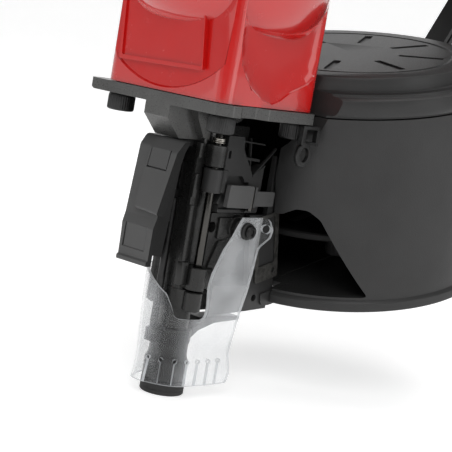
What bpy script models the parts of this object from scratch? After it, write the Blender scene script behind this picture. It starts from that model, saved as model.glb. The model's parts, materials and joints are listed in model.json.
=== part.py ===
"""Coil roofing nailer: a pneumatic nailer, as an assembly of separate pieces.

Shapes are made in millimetres, and finish() turns them into Blender's metres.
The tool frame has +Z up along the driving axis, z = 0 at the contact tip, and +X towards the handle.
"""

import math

import bmesh
import bpy
from mathutils import Matrix, Vector

MM = 0.001

# Driving dimensions
AXIS_X = -97.75             # driving axis, so that the origin is the middle of the whole tool
AXIS_Y = 5.0
FLANGE_LOW = 107.4          # underside of the nose flange
FLANGE_TOP = 111.4
CLEAR = 0.3                 # gap kept between neighbouring pieces
WELD = 0.001                # corners nearer than this are one corner
BOLT_X = 20.9               # nose screws, half spacings
BOLT_Y = 23.9
CHANNEL_R = 5.3             # drive channel
GUIDE_LOW = 34.0            # lower end of the driver guide
SLEEVE_R = 25.2             # cylinder sleeve, outside
BORE_R = 23.0               # cylinder bore
BARREL_R = 37.0             # round part of the housing
BARREL_TOP = 235.4
STROKE = 96.0               # piston travel
PIN_X, PIN_Y = -3.5, -10.2  # feed door hinge
SHIELD_R = 13.0             # inside radius of the chip shield
SHIELD_T = 1.2
SHIELD_SCREW_X, SHIELD_SCREW_Z = 15.7, 64.4
HANDLE_X, HANDLE_Z = 30.0, 190.0
HANDLE_TILT = 5.0           # degrees, rising to the rear
HANDLE_LEN = 165.0
DRUM_X, DRUM_Y, DRUM_Z = 95.5, -5.0, 50.3   # foot of the drum's axis
DRUM_TILT = 13.0            # degrees, matching the slant of the wire-bound coil
DRUM_R = 56.0
DRUM_WALL = 2.5
DRUM_H = 73.0
LID_LOW = 73.4              # underside of the magazine's lid
RIM_LOW = -2.2              # underside of the magazine's bottom rim
THROAT_U = (-69.0, -49.0)
THROAT_V = (-6.8, 16.8)
HINGE_U = 60.5              # magazine cover hinge
ROD_X, ROD_Y = -10.4, 0.3   # contact rod
WHEEL_X = -16.9             # depth wheel
LATCH_X, LATCH_Y = 17.0, -13.4
SHIELD_BEND = 25.5          # where the shield's ear is bent outward
FEED_Y, FEED_Z = 20.2, 77.6
CAP_BOLT = 26.5             # cap screws, half spacing both ways
TRIGGER_VALVE_X = 28.0
HANGER_X = 153.0
LUG_U, LUG_V = 62.0, 5.0    # screw that holds the hanger to the magazine


# ---------------------------------------------------------------- scene and materials

def clear_scene():
    for obj in list(bpy.data.objects):
        bpy.data.objects.remove(obj, do_unlink=True)


def material(name, colour, roughness, metallic=0.0, alpha=1.0):
    mat = bpy.data.materials.new(name)
    mat.use_nodes = True
    shader = mat.node_tree.nodes["Principled BSDF"]
    shader.inputs["Base Color"].default_value = (*colour, 1.0)
    shader.inputs["Roughness"].default_value = roughness
    shader.inputs["Metallic"].default_value = metallic
    shader.inputs["Alpha"].default_value = alpha
    return mat


def make_materials():
    return {
        "red_paint": material("red_paint", (0.50, 0.012, 0.010), 0.25),
        "cast_grey": material("cast_grey", (0.105, 0.105, 0.102), 0.55, 0.3),
        "black_steel": material("black_steel", (0.015, 0.015, 0.015), 0.45, 0.8),
        "bright_steel": material("bright_steel", (0.45, 0.44, 0.42), 0.30, 1.0),
        "black_plastic": material("black_plastic", (0.028, 0.028, 0.028), 0.50),
        "grey_plastic": material("grey_plastic", (0.075, 0.075, 0.075), 0.50),
        "rubber": material("rubber", (0.012, 0.012, 0.012), 0.80),
        "aluminium": material("aluminium", (0.50, 0.50, 0.50), 0.40, 1.0),
        "clear_plastic": material("clear_plastic", (0.90, 0.92, 0.94), 0.10, 0.0, 0.35),
    }


def empty(name, parent, x, y, z, tilt=0.0):
    """A frame: its X axis rises to the rear by tilt degrees."""
    frame = bpy.data.objects.new(name, None)
    bpy.context.collection.objects.link(frame)
    frame.parent = parent
    frame.location = Vector((x, y, z)) * MM
    frame.rotation_euler = (0.0, -math.radians(tilt), 0.0)
    return frame


# ---------------------------------------------------------------- shapes

def to_object(bm, name="shape"):
    bmesh.ops.recalc_face_normals(bm, faces=bm.faces)
    mesh = bpy.data.meshes.new(name)
    bm.to_mesh(mesh)
    bm.free()
    obj = bpy.data.objects.new(name, mesh)
    bpy.context.collection.objects.link(obj)
    return obj


def box(x0, x1, y0, y1, z0, z1, bevel=0.0, edges="xyz"):
    """A block. bevel rounds the edges that run along the axes named in edges."""
    bm = bmesh.new()
    size = Matrix.Diagonal((x1 - x0, y1 - y0, z1 - z0, 1.0))
    middle = Vector(((x0 + x1) / 2, (y0 + y1) / 2, (z0 + z1) / 2))
    bmesh.ops.create_cube(bm, size=1.0, matrix=Matrix.Translation(middle) @ size)
    if bevel:
        chosen = [e for e in bm.edges if edge_axis(e) in edges]
        bmesh.ops.bevel(bm, geom=chosen, offset=bevel, segments=2, profile=0.5, affect="EDGES")
    return to_object(bm)


def edge_axis(edge):
    run = edge.verts[1].co - edge.verts[0].co
    return "xyz"[max(range(3), key=lambda i: abs(run[i]))]


def prism(outline, axis, low, high):
    """An outline pushed along an axis. Its points are the two other coordinates, in x, y, z order."""
    bm = bmesh.new()
    at = "xyz".index(axis)
    verts = []
    for a, b in outline:
        point = [a, b]
        point.insert(at, low)
        verts.append(bm.verts.new(point))
    face = bm.faces.new(verts)
    pushed = bmesh.ops.extrude_face_region(bm, geom=[face])
    step = Vector((0, 0, 0))
    step[at] = high - low
    bmesh.ops.translate(bm, vec=step, verts=[v for v in pushed["geom"] if isinstance(v, bmesh.types.BMVert)])
    return to_object(bm)


def turned(profile, centre=(0, 0, 0), axis="z", segments=32):
    """A solid of revolution. profile is a list of (radius, height) around a closed outline."""
    bm = bmesh.new()
    rings = []
    for radius, height in profile:
        if radius == 0:
            rings.append([bm.verts.new((0, 0, height))])
            continue
        ring = []
        for i in range(segments):
            turn = 2 * math.pi * i / segments
            ring.append(bm.verts.new((radius * math.cos(turn), radius * math.sin(turn), height)))
        rings.append(ring)
    for one, two in zip(rings, rings[1:] + rings[:1]):
        for i in range(segments):
            j = (i + 1) % segments
            corners = [one[i % len(one)], one[j % len(one)], two[j % len(two)], two[i % len(two)]]
            corners = list(dict.fromkeys(corners))
            if len(corners) > 2:
                bm.faces.new(corners)
    turn = {"z": Matrix(), "x": Matrix.Rotation(math.pi / 2, 4, "Y"), "y": Matrix.Rotation(-math.pi / 2, 4, "X")}
    bm.transform(Matrix.Translation(centre) @ turn[axis])
    return to_object(bm)


def rod(radius, centre, low, high, axis="z", segments=24):
    """A round bar from low to high along an axis, through centre's two other coordinates."""
    place = list(centre)
    place.insert("xyz".index(axis), 0.0)
    return turned([(0, low), (radius, low), (radius, high), (0, high)], place, axis, segments)


def tube(outer, inner, centre, low, high, axis="z", segments=24):
    place = list(centre)
    place.insert("xyz".index(axis), 0.0)
    return turned([(inner, low), (outer, low), (outer, high), (inner, high)], place, axis, segments)


def coil(radius, wire, centre, low, high, turns, axis="z", per_turn=14, sides=6):
    """A helical spring whose ends are closed."""
    bm = bmesh.new()
    steps = int(turns * per_turn)
    rings = []
    for i in range(steps + 1):
        turn = 2 * math.pi * turns * i / steps
        height = low + wire + (high - low - 2 * wire) * i / steps
        ring = []
        for k in range(sides):
            around = 2 * math.pi * k / sides
            out = radius + wire * math.cos(around)
            point = (out * math.cos(turn), out * math.sin(turn), height + wire * math.sin(around))
            ring.append(bm.verts.new(point))
        rings.append(ring)
    for one, two in zip(rings, rings[1:]):
        for k in range(sides):
            n = (k + 1) % sides
            bm.faces.new((one[k], one[n], two[n], two[k]))
    bm.faces.new(rings[0])
    bm.faces.new(rings[-1])
    place = list(centre)
    place.insert("xyz".index(axis), 0.0)
    turn = {"z": Matrix(), "x": Matrix.Rotation(math.pi / 2, 4, "Y"), "y": Matrix.Rotation(-math.pi / 2, 4, "X")}
    bm.transform(Matrix.Translation(place) @ turn[axis])
    return to_object(bm)


def combine(target, tools, operation):
    """Joins the tools to the target, or cuts them from it, and removes them."""
    for tool in tools:
        step = target.modifiers.new("step", "BOOLEAN")
        step.operation = operation
        step.solver = "EXACT"
        step.object = tool
        bpy.context.view_layer.update()
        shape = bpy.data.meshes.new_from_object(target.evaluated_get(bpy.context.evaluated_depsgraph_get()))
        target.modifiers.remove(step)
        target.data = shape
        bpy.data.objects.remove(tool, do_unlink=True)
        tidy(shape)
    return target


def tidy(mesh):
    """Flat many-sided faces become triangles, so that the next cut finds every face exactly flat."""
    bm = bmesh.new()
    bm.from_mesh(mesh)
    bmesh.ops.remove_doubles(bm, verts=bm.verts[:], dist=WELD)
    bmesh.ops.dissolve_degenerate(bm, edges=bm.edges[:], dist=WELD)
    bmesh.ops.triangulate(bm, faces=[face for face in bm.faces if len(face.verts) > 3])
    bm.to_mesh(mesh)
    bm.free()


def join(target, *tools):
    return combine(target, tools, "UNION")


def cut(target, *tools):
    return combine(target, tools, "DIFFERENCE")


def moved(obj, parent_to_here):
    """Rewrites a shape made in one frame into another."""
    obj.data.transform(parent_to_here)
    return obj


def finish(obj, name, mat, parent, origin=(0, 0, 0)):
    """Names a piece, gives it its material and puts its origin at a point of its parent's frame."""
    obj.name = name
    obj.data.name = name
    obj.data.materials.clear()
    obj.data.materials.append(mat)
    for face in obj.data.polygons:
        face.material_index = 0
    obj.data.transform(Matrix.Scale(MM, 4) @ Matrix.Translation(-Vector(origin)))
    obj.parent = parent
    obj.location = Vector(origin) * MM
    obj.data.shade_smooth()
    obj.data.set_sharp_from_angle(angle=math.radians(35))
    return obj


def frame_matrix(x, y, z, tilt):
    """From a tilted frame's coordinates to the tool frame's."""
    return Matrix.Translation((x, y, z)) @ Matrix.Rotation(-math.radians(tilt), 4, "Y")


HANDLE = frame_matrix(HANDLE_X, 0, HANDLE_Z, HANDLE_TILT)
DRUM = frame_matrix(DRUM_X, DRUM_Y, DRUM_Z, DRUM_TILT)


# ---------------------------------------------------------------- nose

def cap_screw(head_r, head_h, shank_r, shank_len, centre, top, up=True):
    """A socket cap screw. top is where the head meets its seat, and up says which way the shank points."""
    way = 1 if up else -1
    socket = 0.5 * head_r
    profile = [
        (0, top - way * head_h * 0.45), (socket, top - way * head_h * 0.45), (socket, top - way * head_h),
        (head_r * 0.92, top - way * head_h), (head_r, top - way * head_h * 0.88), (head_r, top),
        (shank_r, top), (shank_r, top + way * shank_len), (0, top + way * shank_len),
    ]
    return turned(profile, (*centre, 0), "z", 20)


def nose_body(mats, tool):
    flange = prism([
        (-28, -26), (-24, -31), (-20, -31), (-16, -28), (-8, -28), (-4, -31), (23, -31), (27, -27),
        (27, 27), (23, 31), (-12, 31), (-18, 36), (-25, 36), (-28, 33),
    ], "z", FLANGE_LOW, FLANGE_TOP)
    block = prism([(-28, FLANGE_LOW + 1), (-28, 103), (-20.5, 96), (-6, 96), (-6, FLANGE_LOW + 1)], "y", -5.7, 5.7)
    guide = box(-7.4, 9, -7.2, 9, GUIDE_LOW, FLANGE_LOW + 1)
    foot = box(-7.8, 9.5, -9.6, 9.6, GUIDE_LOW - 0.5, 41)
    gusset = prism([(-27, FLANGE_LOW + 1), (-6, FLANGE_LOW + 1), (-6, 96), (-10, 99)], "x", -6.5, 4)
    track = box(8, 34, 5.8, 8.7, 56, 101)
    side_wall = box(-1.5, 24, -9.4, -6.0, 52, 70)
    lugs = []
    for low, high in ((87.3, 95.4), (41.6, 50.0)):
        lugs.append(rod(3.7, (PIN_X, PIN_Y), low, high))
        lugs.append(box(PIN_X - 3.3, PIN_X + 3.3, PIN_Y, -6, low + 0.4, high - 0.4))
    left_boss = rod(4.0, (SHIELD_SCREW_X, SHIELD_SCREW_Z), -12.6, -8, "y")
    right_boss = rod(4.0, (SHIELD_SCREW_X, SHIELD_SCREW_Z), 6.4, 12.6, "y")
    body = join(flange, block, guide, foot, gusset, track, side_wall, *lugs, left_boss, right_boss)
    holes = [rod(3.3, (sx * BOLT_X, sy * BOLT_Y), 100, 115) for sx in (-1, 1) for sy in (-1, 1)]
    feed_slot = box(0, 40, -6.4, 5.0, 56, 100.5)
    door_room = box(0.2, 40, -20, 1, 69.2, 100.1)
    pawl_slot = box(3.6, 17.4, 4, 12, 75, 80)
    left_hole = rod(2.2, (SHIELD_SCREW_X, SHIELD_SCREW_Z), -20, -7.5, "y")
    right_hole = rod(2.2, (SHIELD_SCREW_X, SHIELD_SCREW_Z), 7.3, 20, "y")
    side_hole = rod(2.0, (1.6, 64.6), -20, -7.8, "y")
    channel = rod(CHANNEL_R, (0, 0), 20, 120)
    pin_room = [rod(1.8, (PIN_X, PIN_Y), 32, 99), rod(4.1, (PIN_X, PIN_Y), 50.4, 87.0),
                rod(3.9, (PIN_X, PIN_Y), 95.6, 101.6)]
    body = cut(body, *holes, channel, feed_slot, door_room, pawl_slot, left_hole, right_hole, side_hole, *pin_room)
    nozzle = tube(6.1, CHANNEL_R - 0.4, (0, 0), 12, GUIDE_LOW + 1)
    body = join(body, nozzle)
    return finish(body, "nose_body", mats["cast_grey"], tool)


def nose_screws(mats, tool):
    places = {
        "nose_screw_front_right": (-1, 1), "nose_screw_front_left": (-1, -1),
        "nose_screw_rear_left": (1, -1), "nose_screw_rear_right": (1, 1),
    }
    for name, (sx, sy) in places.items():
        spot = (sx * BOLT_X, sy * BOLT_Y)
        screw = cap_screw(5.0, 6.0, 3.0, 17.0, spot, FLANGE_LOW - CLEAR)
        finish(screw, name, mats["black_steel"], tool, (*spot, FLANGE_LOW))


def front_cover(mats, tool):
    """A hollow cover over the depth wheel, open towards the nose and on one side."""
    base = prism([(-11.3, 95.4), (-20.6, 95.4), (-22.2, 91.8), (-26.2, 67), (-28.3, 64), (-28.3, 51.8),
                  (-29.1, 51.4), (-29.1, 50), (-11.3, 50)], "y", -7.5, 8.6)
    panel = prism([(-11.3, 95.6), (-22.4, 95.6), (-25, 91.5), (-29.2, 68), (-11.3, 66)], "y", -10.5, 3.4)
    room = prism([(-5, 93.4), (-19, 93.4), (-20.4, 90.5), (-24.2, 66), (-26.2, 62), (-26.2, 40), (-5, 40)],
                 "y", -5.4, 6.6)
    side = prism([(-8, 97), (-18.6, 97), (-21, 91.6), (-25.2, 67), (-26.2, 62), (-26.2, 40), (-8, 40)], "y", -12, -5)
    finish(cut(join(base, panel), room, side), "front_cover", mats["grey_plastic"], tool)


def contact_arm(mats, tool):
    """The foot, its tip, the front rod and the link that slide together along the driving axis."""
    foot = turned([
        (6.5, 0.8), (7.4, 0.8), (7.4, 5.4), (7.9, 5.4), (7.9, 14), (7.3, 14.6), (7.3, 25.0), (6.5, 25.0),
    ], segments=28)
    lug = box(-12.2, -6.9, -2.6, 3.2, 20.0, 24.8)
    wing = prism([(6.9, 19), (11, 22.6), (21, 25.8), (35.5, 26.3), (36.5, 27.6), (24, 28.6), (11, 28.6), (11, 24.6),
                  (6.9, 24.6)], "y", -3.2, 3.2)
    foot = join(foot, lug, wing)
    foot = cut(foot, rod(6.5, (0, 0), -2, 30, segments=28), rod(1.9, (ROD_X, ROD_Y), 20.5, 30))
    finish(foot, "contact_foot", mats["black_steel"], tool)
    tip = turned([(6.6, 0), (8.0, 0), (8.2, 0.6), (8.2, 5.1), (7.7, 5.1), (7.7, 0.5), (6.6, 0.5)], segments=28)
    finish(tip, "contact_tip", mats["rubber"], tool)
    finish(rod(1.4, (ROD_X, ROD_Y), 20.8, 74.0, segments=14), "contact_rod", mats["black_steel"], tool)
    link = join(
        box(-20.0, -9.2, -1.8, 2.4, 74.3, 77.3),
        rod(1.3, (WHEEL_X, ROD_Y), 60.0, 75.0, segments=14),
        box(-11.0, -8.9, -1.6, 2.2, 74.8, 87.0),
        box(-10.8, -8.6, -1.2, 15.4, 84.2, 87.2),
        box(-10.6, 30.0, 13.4, 15.6, 84.6, 92.0),
        box(28.4, 30.2, 10.0, 15.2, 85.0, 126.0),
    )
    finish(link, "contact_link", mats["black_steel"], tool)
    spring = coil(2.6, 0.45, (WHEEL_X, ROD_Y), 77.6, 93.1, 5, per_turn=10, sides=4)
    finish(spring, "contact_spring", mats["bright_steel"], tool)
    wheel = turned([(1.6, 65), (3.5, 65), (3.9, 65.5), (3.9, 70.5), (3.5, 71), (1.6, 71)],
                   (WHEEL_X, ROD_Y, 0), segments=16)
    finish(wheel, "depth_wheel", mats["black_plastic"], tool, (WHEEL_X, ROD_Y, 68))


def feed_door(mats, tool):
    panel = box(0.6, 24.4, -11.4, -6.8, 70.6, 99.0)
    knuckle = rod(3.7, (PIN_X, PIN_Y), 78.0, 86.9)
    web = box(PIN_X, 1.0, -12.6, -7.8, 78.0, 86.9)
    lever_seat = box(15.0, 19.0, -13.0, -11.0, 71.0, 72.4)
    recess = prism([(11.5, 86.5), (22.8, 97.6), (4, 97.6), (4, 92)], "y", -20, -9.4)
    thumb_room = box(1.6, 16.6, -14, -9.4, 71.8, 82.2)
    door = cut(join(panel, knuckle, web, lever_seat), recess, thumb_room, rod(1.8, (PIN_X, PIN_Y), 60, 99),
               rod(1.3, (LATCH_X, LATCH_Y), 70, 73))
    finish(door, "feed_door", mats["black_plastic"], tool, (PIN_X, PIN_Y, 82))
    pin = turned([(0, 36), (1.5, 36), (1.5, 99.6), (2.6, 99.6), (2.6, 100.8), (0, 100.8)], (PIN_X, PIN_Y, 0),
                 segments=14)
    finish(pin, "door_hinge_pin", mats["bright_steel"], tool)
    spring = coil(2.8, 0.5, (PIN_X, PIN_Y), 95.7, 99.3, 2.5, per_turn=12, sides=4)
    finish(spring, "door_hinge_spring", mats["bright_steel"], tool)
    lever = join(box(13.0, 20.0, -15.0, -11.8, 72.8, 81.2), box(2.0, 14.0, -15.0, -13.2, 72.8, 81.2),
                 box(19.0, 30.5, -14.8, -12.6, 74.5, 79.5))
    lever = cut(lever, rod(1.4, (LATCH_X, LATCH_Y), 60, 90, segments=14))
    finish(lever, "door_latch", mats["black_plastic"], tool, (LATCH_X, LATCH_Y, 77))
    finish(rod(1.0, (LATCH_X, LATCH_Y), 71.3, 82.4, segments=12), "latch_pin", mats["bright_steel"], tool)


def shield_point(s, z, t):
    """A point of the chip shield: s runs along the sheet, from the left side, and t is depth in the sheet."""
    radius = SHIELD_R + t
    turn = -s / SHIELD_R
    if s > SHIELD_BEND:
        past = s - SHIELD_BEND
        slant = math.radians(45)
        return Vector((SHIELD_BEND + past * math.cos(slant) - t * math.sin(slant) * 0.4,
                       -radius - past * math.sin(slant), z))
    if s >= 0:
        return Vector((s, -radius, z))
    if turn <= math.pi:
        return Vector((-radius * math.sin(turn), -radius * math.cos(turn), z))
    return Vector((-s - math.pi * SHIELD_R, radius, z))


def chip_shield(mats, tool):
    far = math.pi * SHIELD_R
    outline = [
        (20.0, 5.2), (21.2, 9.0), (18.6, 17.0), (20.0, 25.0), (22.0, 34.0), (24.0, 41.5), (25.6, 52.0), (26.4, 57.5),
        (29.6, 61.5), (30.6, 64.8), (29.6, 68.0), (27.0, 69.2), (15.0, 69.2), (12.2, 67.4), (11.2, 64.0),
        (9.6, 61.6), (6.0, 57.0), (1.6, 48.0), (0.6, 43.0), (1.8, 35.5), (1.0, 32.5), (-1.6, 30.8), (-9.0, 30.6),
        (-11.4, 32.0), (-12.5, 34.5), (-15.0, 39.0), (-19.0, 41.5), (-24.0, 45.0), (-28.5, 47.4), (-far, 47.4),
        (-far - 4, 50.0), (-far - 11.0, 62.0), (-far - 11.8, 67.6), (-far - 14.0, 69.2), (-far - 19.5, 69.2),
        (-far - 21.5, 66.0), (-far - 20.5, 56.0), (-far - 25.5, 36.0), (-far - 32.0, 27.0), (-far - 38.0, 16.0),
        (-far - 36.5, 8.0), (-far - 32.0, 5.2),
    ]
    sheet = prism(outline, "y", 0, SHIELD_T)
    left_hole = rod(2.7, (SHIELD_SCREW_X, SHIELD_SCREW_Z), -5, 5, "y")
    right_hole = rod(2.7, (-far - SHIELD_SCREW_X, SHIELD_SCREW_Z), -5, 5, "y")
    ear_hole = rod(1.5, (28.2, 65.0), -5, 5, "y", 14)
    sheet = cut(sheet, left_hole, right_hole, ear_hole)
    bm = bmesh.new()
    bm.from_mesh(sheet.data)
    folds = [-far * i / 10 for i in range(11)] + [SHIELD_BEND]
    for fold in folds:
        bmesh.ops.bisect_plane(bm, geom=bm.verts[:] + bm.edges[:] + bm.faces[:],
                               plane_co=(fold, 0, 0), plane_no=(1, 0, 0), dist=1e-4)
    bmesh.ops.triangulate(bm, faces=bm.faces[:])
    for vert in bm.verts:
        s, t, z = vert.co
        vert.co = shield_point(s, z, t)
    bmesh.ops.recalc_face_normals(bm, faces=bm.faces[:])
    bpy.data.objects.remove(sheet, do_unlink=True)
    finish(to_object(bm), "chip_shield", mats["clear_plastic"], tool)
    for side, way in (("left", -1), ("right", 1)):
        ring = [(2.2, 14.5), (3.6, 14.5), (3.6, 16.0), (2.2, 16.0)]
        grommet = turned([(r, way * h) for r, h in ring], (SHIELD_SCREW_X, 0, SHIELD_SCREW_Z), "y", 20)
        finish(grommet, "shield_grommet_" + side, mats["rubber"], tool)
        bolt = [(0, 8.0), (1.8, 8.0), (1.8, 16.3), (2.8, 16.3), (2.8, 17.3), (2.0, 18.2), (1.2, 18.2), (1.2, 17.0),
                (0, 17.0)]
        screw = turned([(r, way * h) for r, h in bolt], (SHIELD_SCREW_X, 0, SHIELD_SCREW_Z), "y", 20)
        finish(screw, "shield_screw_" + side, mats["black_steel"], tool)


def feed_drive(mats, tool):
    """The air cylinder on the right of the nose that pulls the nail coil forward."""
    barrel = rod(6.0, (FEED_Y, FEED_Z), 10.7, 33, "x")
    web = box(18, 26, 9.0, FEED_Y, FEED_Z - 3, FEED_Z + 3)
    barrel = cut(join(barrel, web), rod(4.9, (FEED_Y, FEED_Z), 12, 31.4, "x"),
                 rod(2.0, (FEED_Y, FEED_Z), 5, 13, "x"))
    finish(barrel, "feed_cylinder", mats["aluminium"], tool)
    piston = turned([(0, 1.5), (1.6, 1.5), (1.6, 17), (4.6, 17), (4.6, 20), (0, 20)], (0, FEED_Y, FEED_Z), "x", 20)
    finish(piston, "feed_piston", mats["bright_steel"], tool)
    pawl = join(
        box(-2.2, 1.2, 9.5, 23.0, 75.6, 79.4),
        box(-1.2, 8.2, 9.9, 12.9, 76.0, 79.0),
        box(4.2, 8.0, 3.6, 11.0, 75.7, 79.3),
    )
    finish(pawl, "feed_pawl", mats["black_steel"], tool)
    spring = coil(3.2, 0.5, (FEED_Y, FEED_Z), 20.3, 31.1, 4, "x", per_turn=10, sides=4)
    finish(spring, "feed_spring", mats["bright_steel"], tool)


# ---------------------------------------------------------------- housing, cylinder and head

def main_housing(mats, tool):
    block = box(-27, 27, -28.5, 28.5, FLANGE_TOP + CLEAR, 150, 4.0, "z")
    barrel = turned([(0, 132), (26, 132), (33, 136), (36.2, 143), (BARREL_R, 150), (BARREL_R, BARREL_TOP),
                     (0, BARREL_TOP)], segments=48)
    handle = moved(box(0, HANDLE_LEN, -15, 15, -19, 19, 6.0, "x"), HANDLE)
    ears = [rod(6.0, (sx * CAP_BOLT, sy * CAP_BOLT), 214, BARREL_TOP) for sx in (-1, 1) for sy in (-1, 1)]
    lugs = [moved(box(5, 17, y, y + 3.4, -30, -15), HANDLE) for y in (-11, 7.6)]
    body = join(block, barrel, handle, *ears, *lugs)
    low_bore = rod(SLEEVE_R + 0.4, (0, 0), 105, 200, segments=48)
    air_room = rod(33.0, (0, 0), 150, 240, segments=48)
    hollow = moved(box(-6, HANDLE_LEN + 5, -11, 11, -14, 14), HANDLE)
    valve_hole = moved(rod(8.3, (TRIGGER_VALVE_X, 0), -25, -5), HANDLE)
    pin_hole = moved(rod(2.3, (11, -26), -20, 20, "y"), HANDLE)
    hanger_hole = moved(rod(2.9, (HANGER_X, 0), -25, -10), HANDLE)
    nose_holes = [rod(3.3, (sx * BOLT_X, sy * BOLT_Y), 105, 126) for sx in (-1, 1) for sy in (-1, 1)]
    cap_holes = [rod(2.9, (sx * CAP_BOLT, sy * CAP_BOLT), 220, 240) for sx in (-1, 1) for sy in (-1, 1)]
    body = cut(body, low_bore, air_room, hollow, valve_hole, pin_hole, hanger_hole, *nose_holes, *cap_holes)
    finish(body, "main_housing", mats["red_paint"], tool)


def cylinder_parts(mats, tool):
    finish(tube(SLEEVE_R, BORE_R, (0, 0), FLANGE_TOP + CLEAR, 233, segments=40), "cylinder_sleeve",
           mats["aluminium"], tool)
    finish(tube(BORE_R - 0.4, 5.7, (0, 0), FLANGE_TOP + CLEAR, 129, segments=32), "bumper", mats["rubber"], tool)
    low = 129.4 + STROKE
    crown = [(3.6, low), (8, low), (BORE_R - 1.6, low + 1), (BORE_R - 0.4, low + 1), (BORE_R - 0.4, low + 2.4),
             (20.9, low + 2.4), (20.9, low + 5.0), (BORE_R - 0.4, low + 5.0), (BORE_R - 0.4, low + 7), (0, low + 7),
             (0, low + 4.6), (3.6, low + 4.6)]
    finish(turned(crown, segments=32), "piston", mats["aluminium"], tool)
    ring = [(21.2, low + 2.7), (BORE_R - 0.2, low + 2.7), (BORE_R - 0.2, low + 4.7), (21.2, low + 4.7)]
    finish(turned(ring, segments=32), "piston_ring", mats["rubber"], tool)
    finish(rod(3.3, (0, 0), 103, low + 4.3, segments=16), "driver_blade", mats["bright_steel"], tool)
    valve = [(8.4, 240), (24, 240), (24.4, 233.4), (29.5, 233.4), (29.5, 245), (8.4, 245)]
    finish(turned(valve, segments=32), "head_valve", mats["grey_plastic"], tool)
    finish(coil(20, 0.7, (0, 0), 245.3, 252.2, 2.5, per_turn=16, sides=5), "head_valve_spring",
           mats["bright_steel"], tool)


def cap_parts(mats, tool):
    gasket = tube(34.2, 31.0, (0, 0), BARREL_TOP + 0.3, BARREL_TOP + 1.1, segments=40)
    finish(gasket, "cap_gasket", mats["rubber"], tool)
    base = BARREL_TOP + 1.4
    dome = turned([(0, base), (38, base), (38, 254), (35.5, 259), (30, 262), (0, 262)], segments=48)
    ears = [rod(6.2, (sx * CAP_BOLT, sy * CAP_BOLT), base, 246) for sx in (-1, 1) for sy in (-1, 1)]
    seats = [rod(5.0, (sx * CAP_BOLT, sy * CAP_BOLT), 246, 270, segments=20) for sx in (-1, 1) for sy in (-1, 1)]
    holes = [rod(2.9, (sx * CAP_BOLT, sy * CAP_BOLT), 230, 250, segments=16) for sx in (-1, 1) for sy in (-1, 1)]
    ports = [rod(3.5, (13 * math.cos(a), 13 * math.sin(a)), 240, 270, segments=16)
             for a in (0, math.pi / 2, math.pi, 3 * math.pi / 2)]
    cap = cut(join(dome, *ears), rod(30.0, (0, 0), 230, 252.5, segments=48), *seats, *holes, *ports,
              rod(3.3, (0, 0), 240, 270))
    finish(cap, "cylinder_cap", mats["black_plastic"], tool)
    places = {
        "cap_screw_front_right": (-1, 1), "cap_screw_front_left": (-1, -1),
        "cap_screw_rear_left": (1, -1), "cap_screw_rear_right": (1, 1),
    }
    for name, (sx, sy) in places.items():
        spot = (sx * CAP_BOLT, sy * CAP_BOLT)
        screw = cap_screw(4.25, 5.0, 2.5, 22.0, spot, 246.3, up=False)
        finish(screw, name, mats["black_steel"], tool, (*spot, 246.3))
    plate = turned([(3.4, 262.3), (6, 262.3), (6, 267), (21, 267), (21, 262.3), (24, 262.3), (24, 268), (22, 270),
                    (3.4, 270)], segments=36)
    plate = cut(plate, box(10, 30, -9, 9, 255, 266.5))
    finish(plate, "exhaust_deflector", mats["black_plastic"], tool, (0, 0, 266))
    screw = cap_screw(5.0, 4.0, 3.0, 14.0, (0, 0), 270.3, up=False)
    finish(screw, "deflector_screw", mats["black_steel"], tool, (0, 0, 270))


# ---------------------------------------------------------------- handle and trigger

def handle_parts(mats, handle):
    sleeve = box(50, 138, -18, 18, -22, 22, 8.0, "x")
    sleeve = cut(sleeve, box(40, 150, -15.4, 15.4, -19.4, 19.4, 6.0, "x"))
    finish(sleeve, "grip_sleeve", mats["rubber"], handle)
    cap = join(box(HANDLE_LEN + CLEAR, HANDLE_LEN + 12, -16, 16, -20, 20, 5.0, "x"),
               box(HANDLE_LEN - 7, HANDLE_LEN + 1, -10.6, 10.6, -13.6, 13.6))
    cap = cut(cap, rod(6.6, (0, 0), HANDLE_LEN - 20, HANDLE_LEN + 20, "x"))
    finish(cap, "end_cap", mats["aluminium"], handle)
    plug = turned([
        (2.8, 160), (6.3, 160), (6.3, 177.4), (8.2, 177.4), (8.2, 184), (5.0, 184.6), (5.0, 190), (6.0, 190.6),
        (6.0, 194), (4.2, 195), (4.2, 203), (3.6, 204), (2.8, 204),
    ], (0, 0, 0), "x", 18)
    finish(plug, "air_plug", mats["bright_steel"], handle)
    valve = turned([(2.3, -23), (9.6, -23), (9.6, -19.4), (8.0, -19.4), (8.0, -3), (2.3, -3)],
                   (TRIGGER_VALVE_X, 0, 0), segments=24)
    finish(valve, "trigger_valve", mats["black_plastic"], handle)
    plunger = rod(1.9, (TRIGGER_VALVE_X, 0), -25.4, -8.0, segments=14)
    finish(plunger, "valve_plunger", mats["bright_steel"], handle, (TRIGGER_VALVE_X, 0, -20))
    lever = prism([(6.5, -24.5), (14, -24.0), (17, -25.7), (36, -25.7), (41, -33), (38, -36.5), (30, -32.5),
                   (20, -32), (12, -31), (6.5, -29)], "y", -7, 7)
    lever = cut(lever, rod(2.3, (11, -26), -20, 20, "y", 16))
    finish(lever, "trigger", mats["black_plastic"], handle, (11, 0, -26))
    pin = rod(2.0, (11, -26), -11.6, 11.6, "y", 16)
    finish(pin, "trigger_pin", mats["bright_steel"], handle)


# ---------------------------------------------------------------- magazine

def nose_room():
    """What the magazine leaves free for the nose and the flange above it."""
    back = DRUM.inverted()
    return [moved(box(-60, 30.6, -60, 60, 69.8, 104.2), back), moved(box(-60, 31.0, -80, 80, 103.8, 160), back)]


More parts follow.
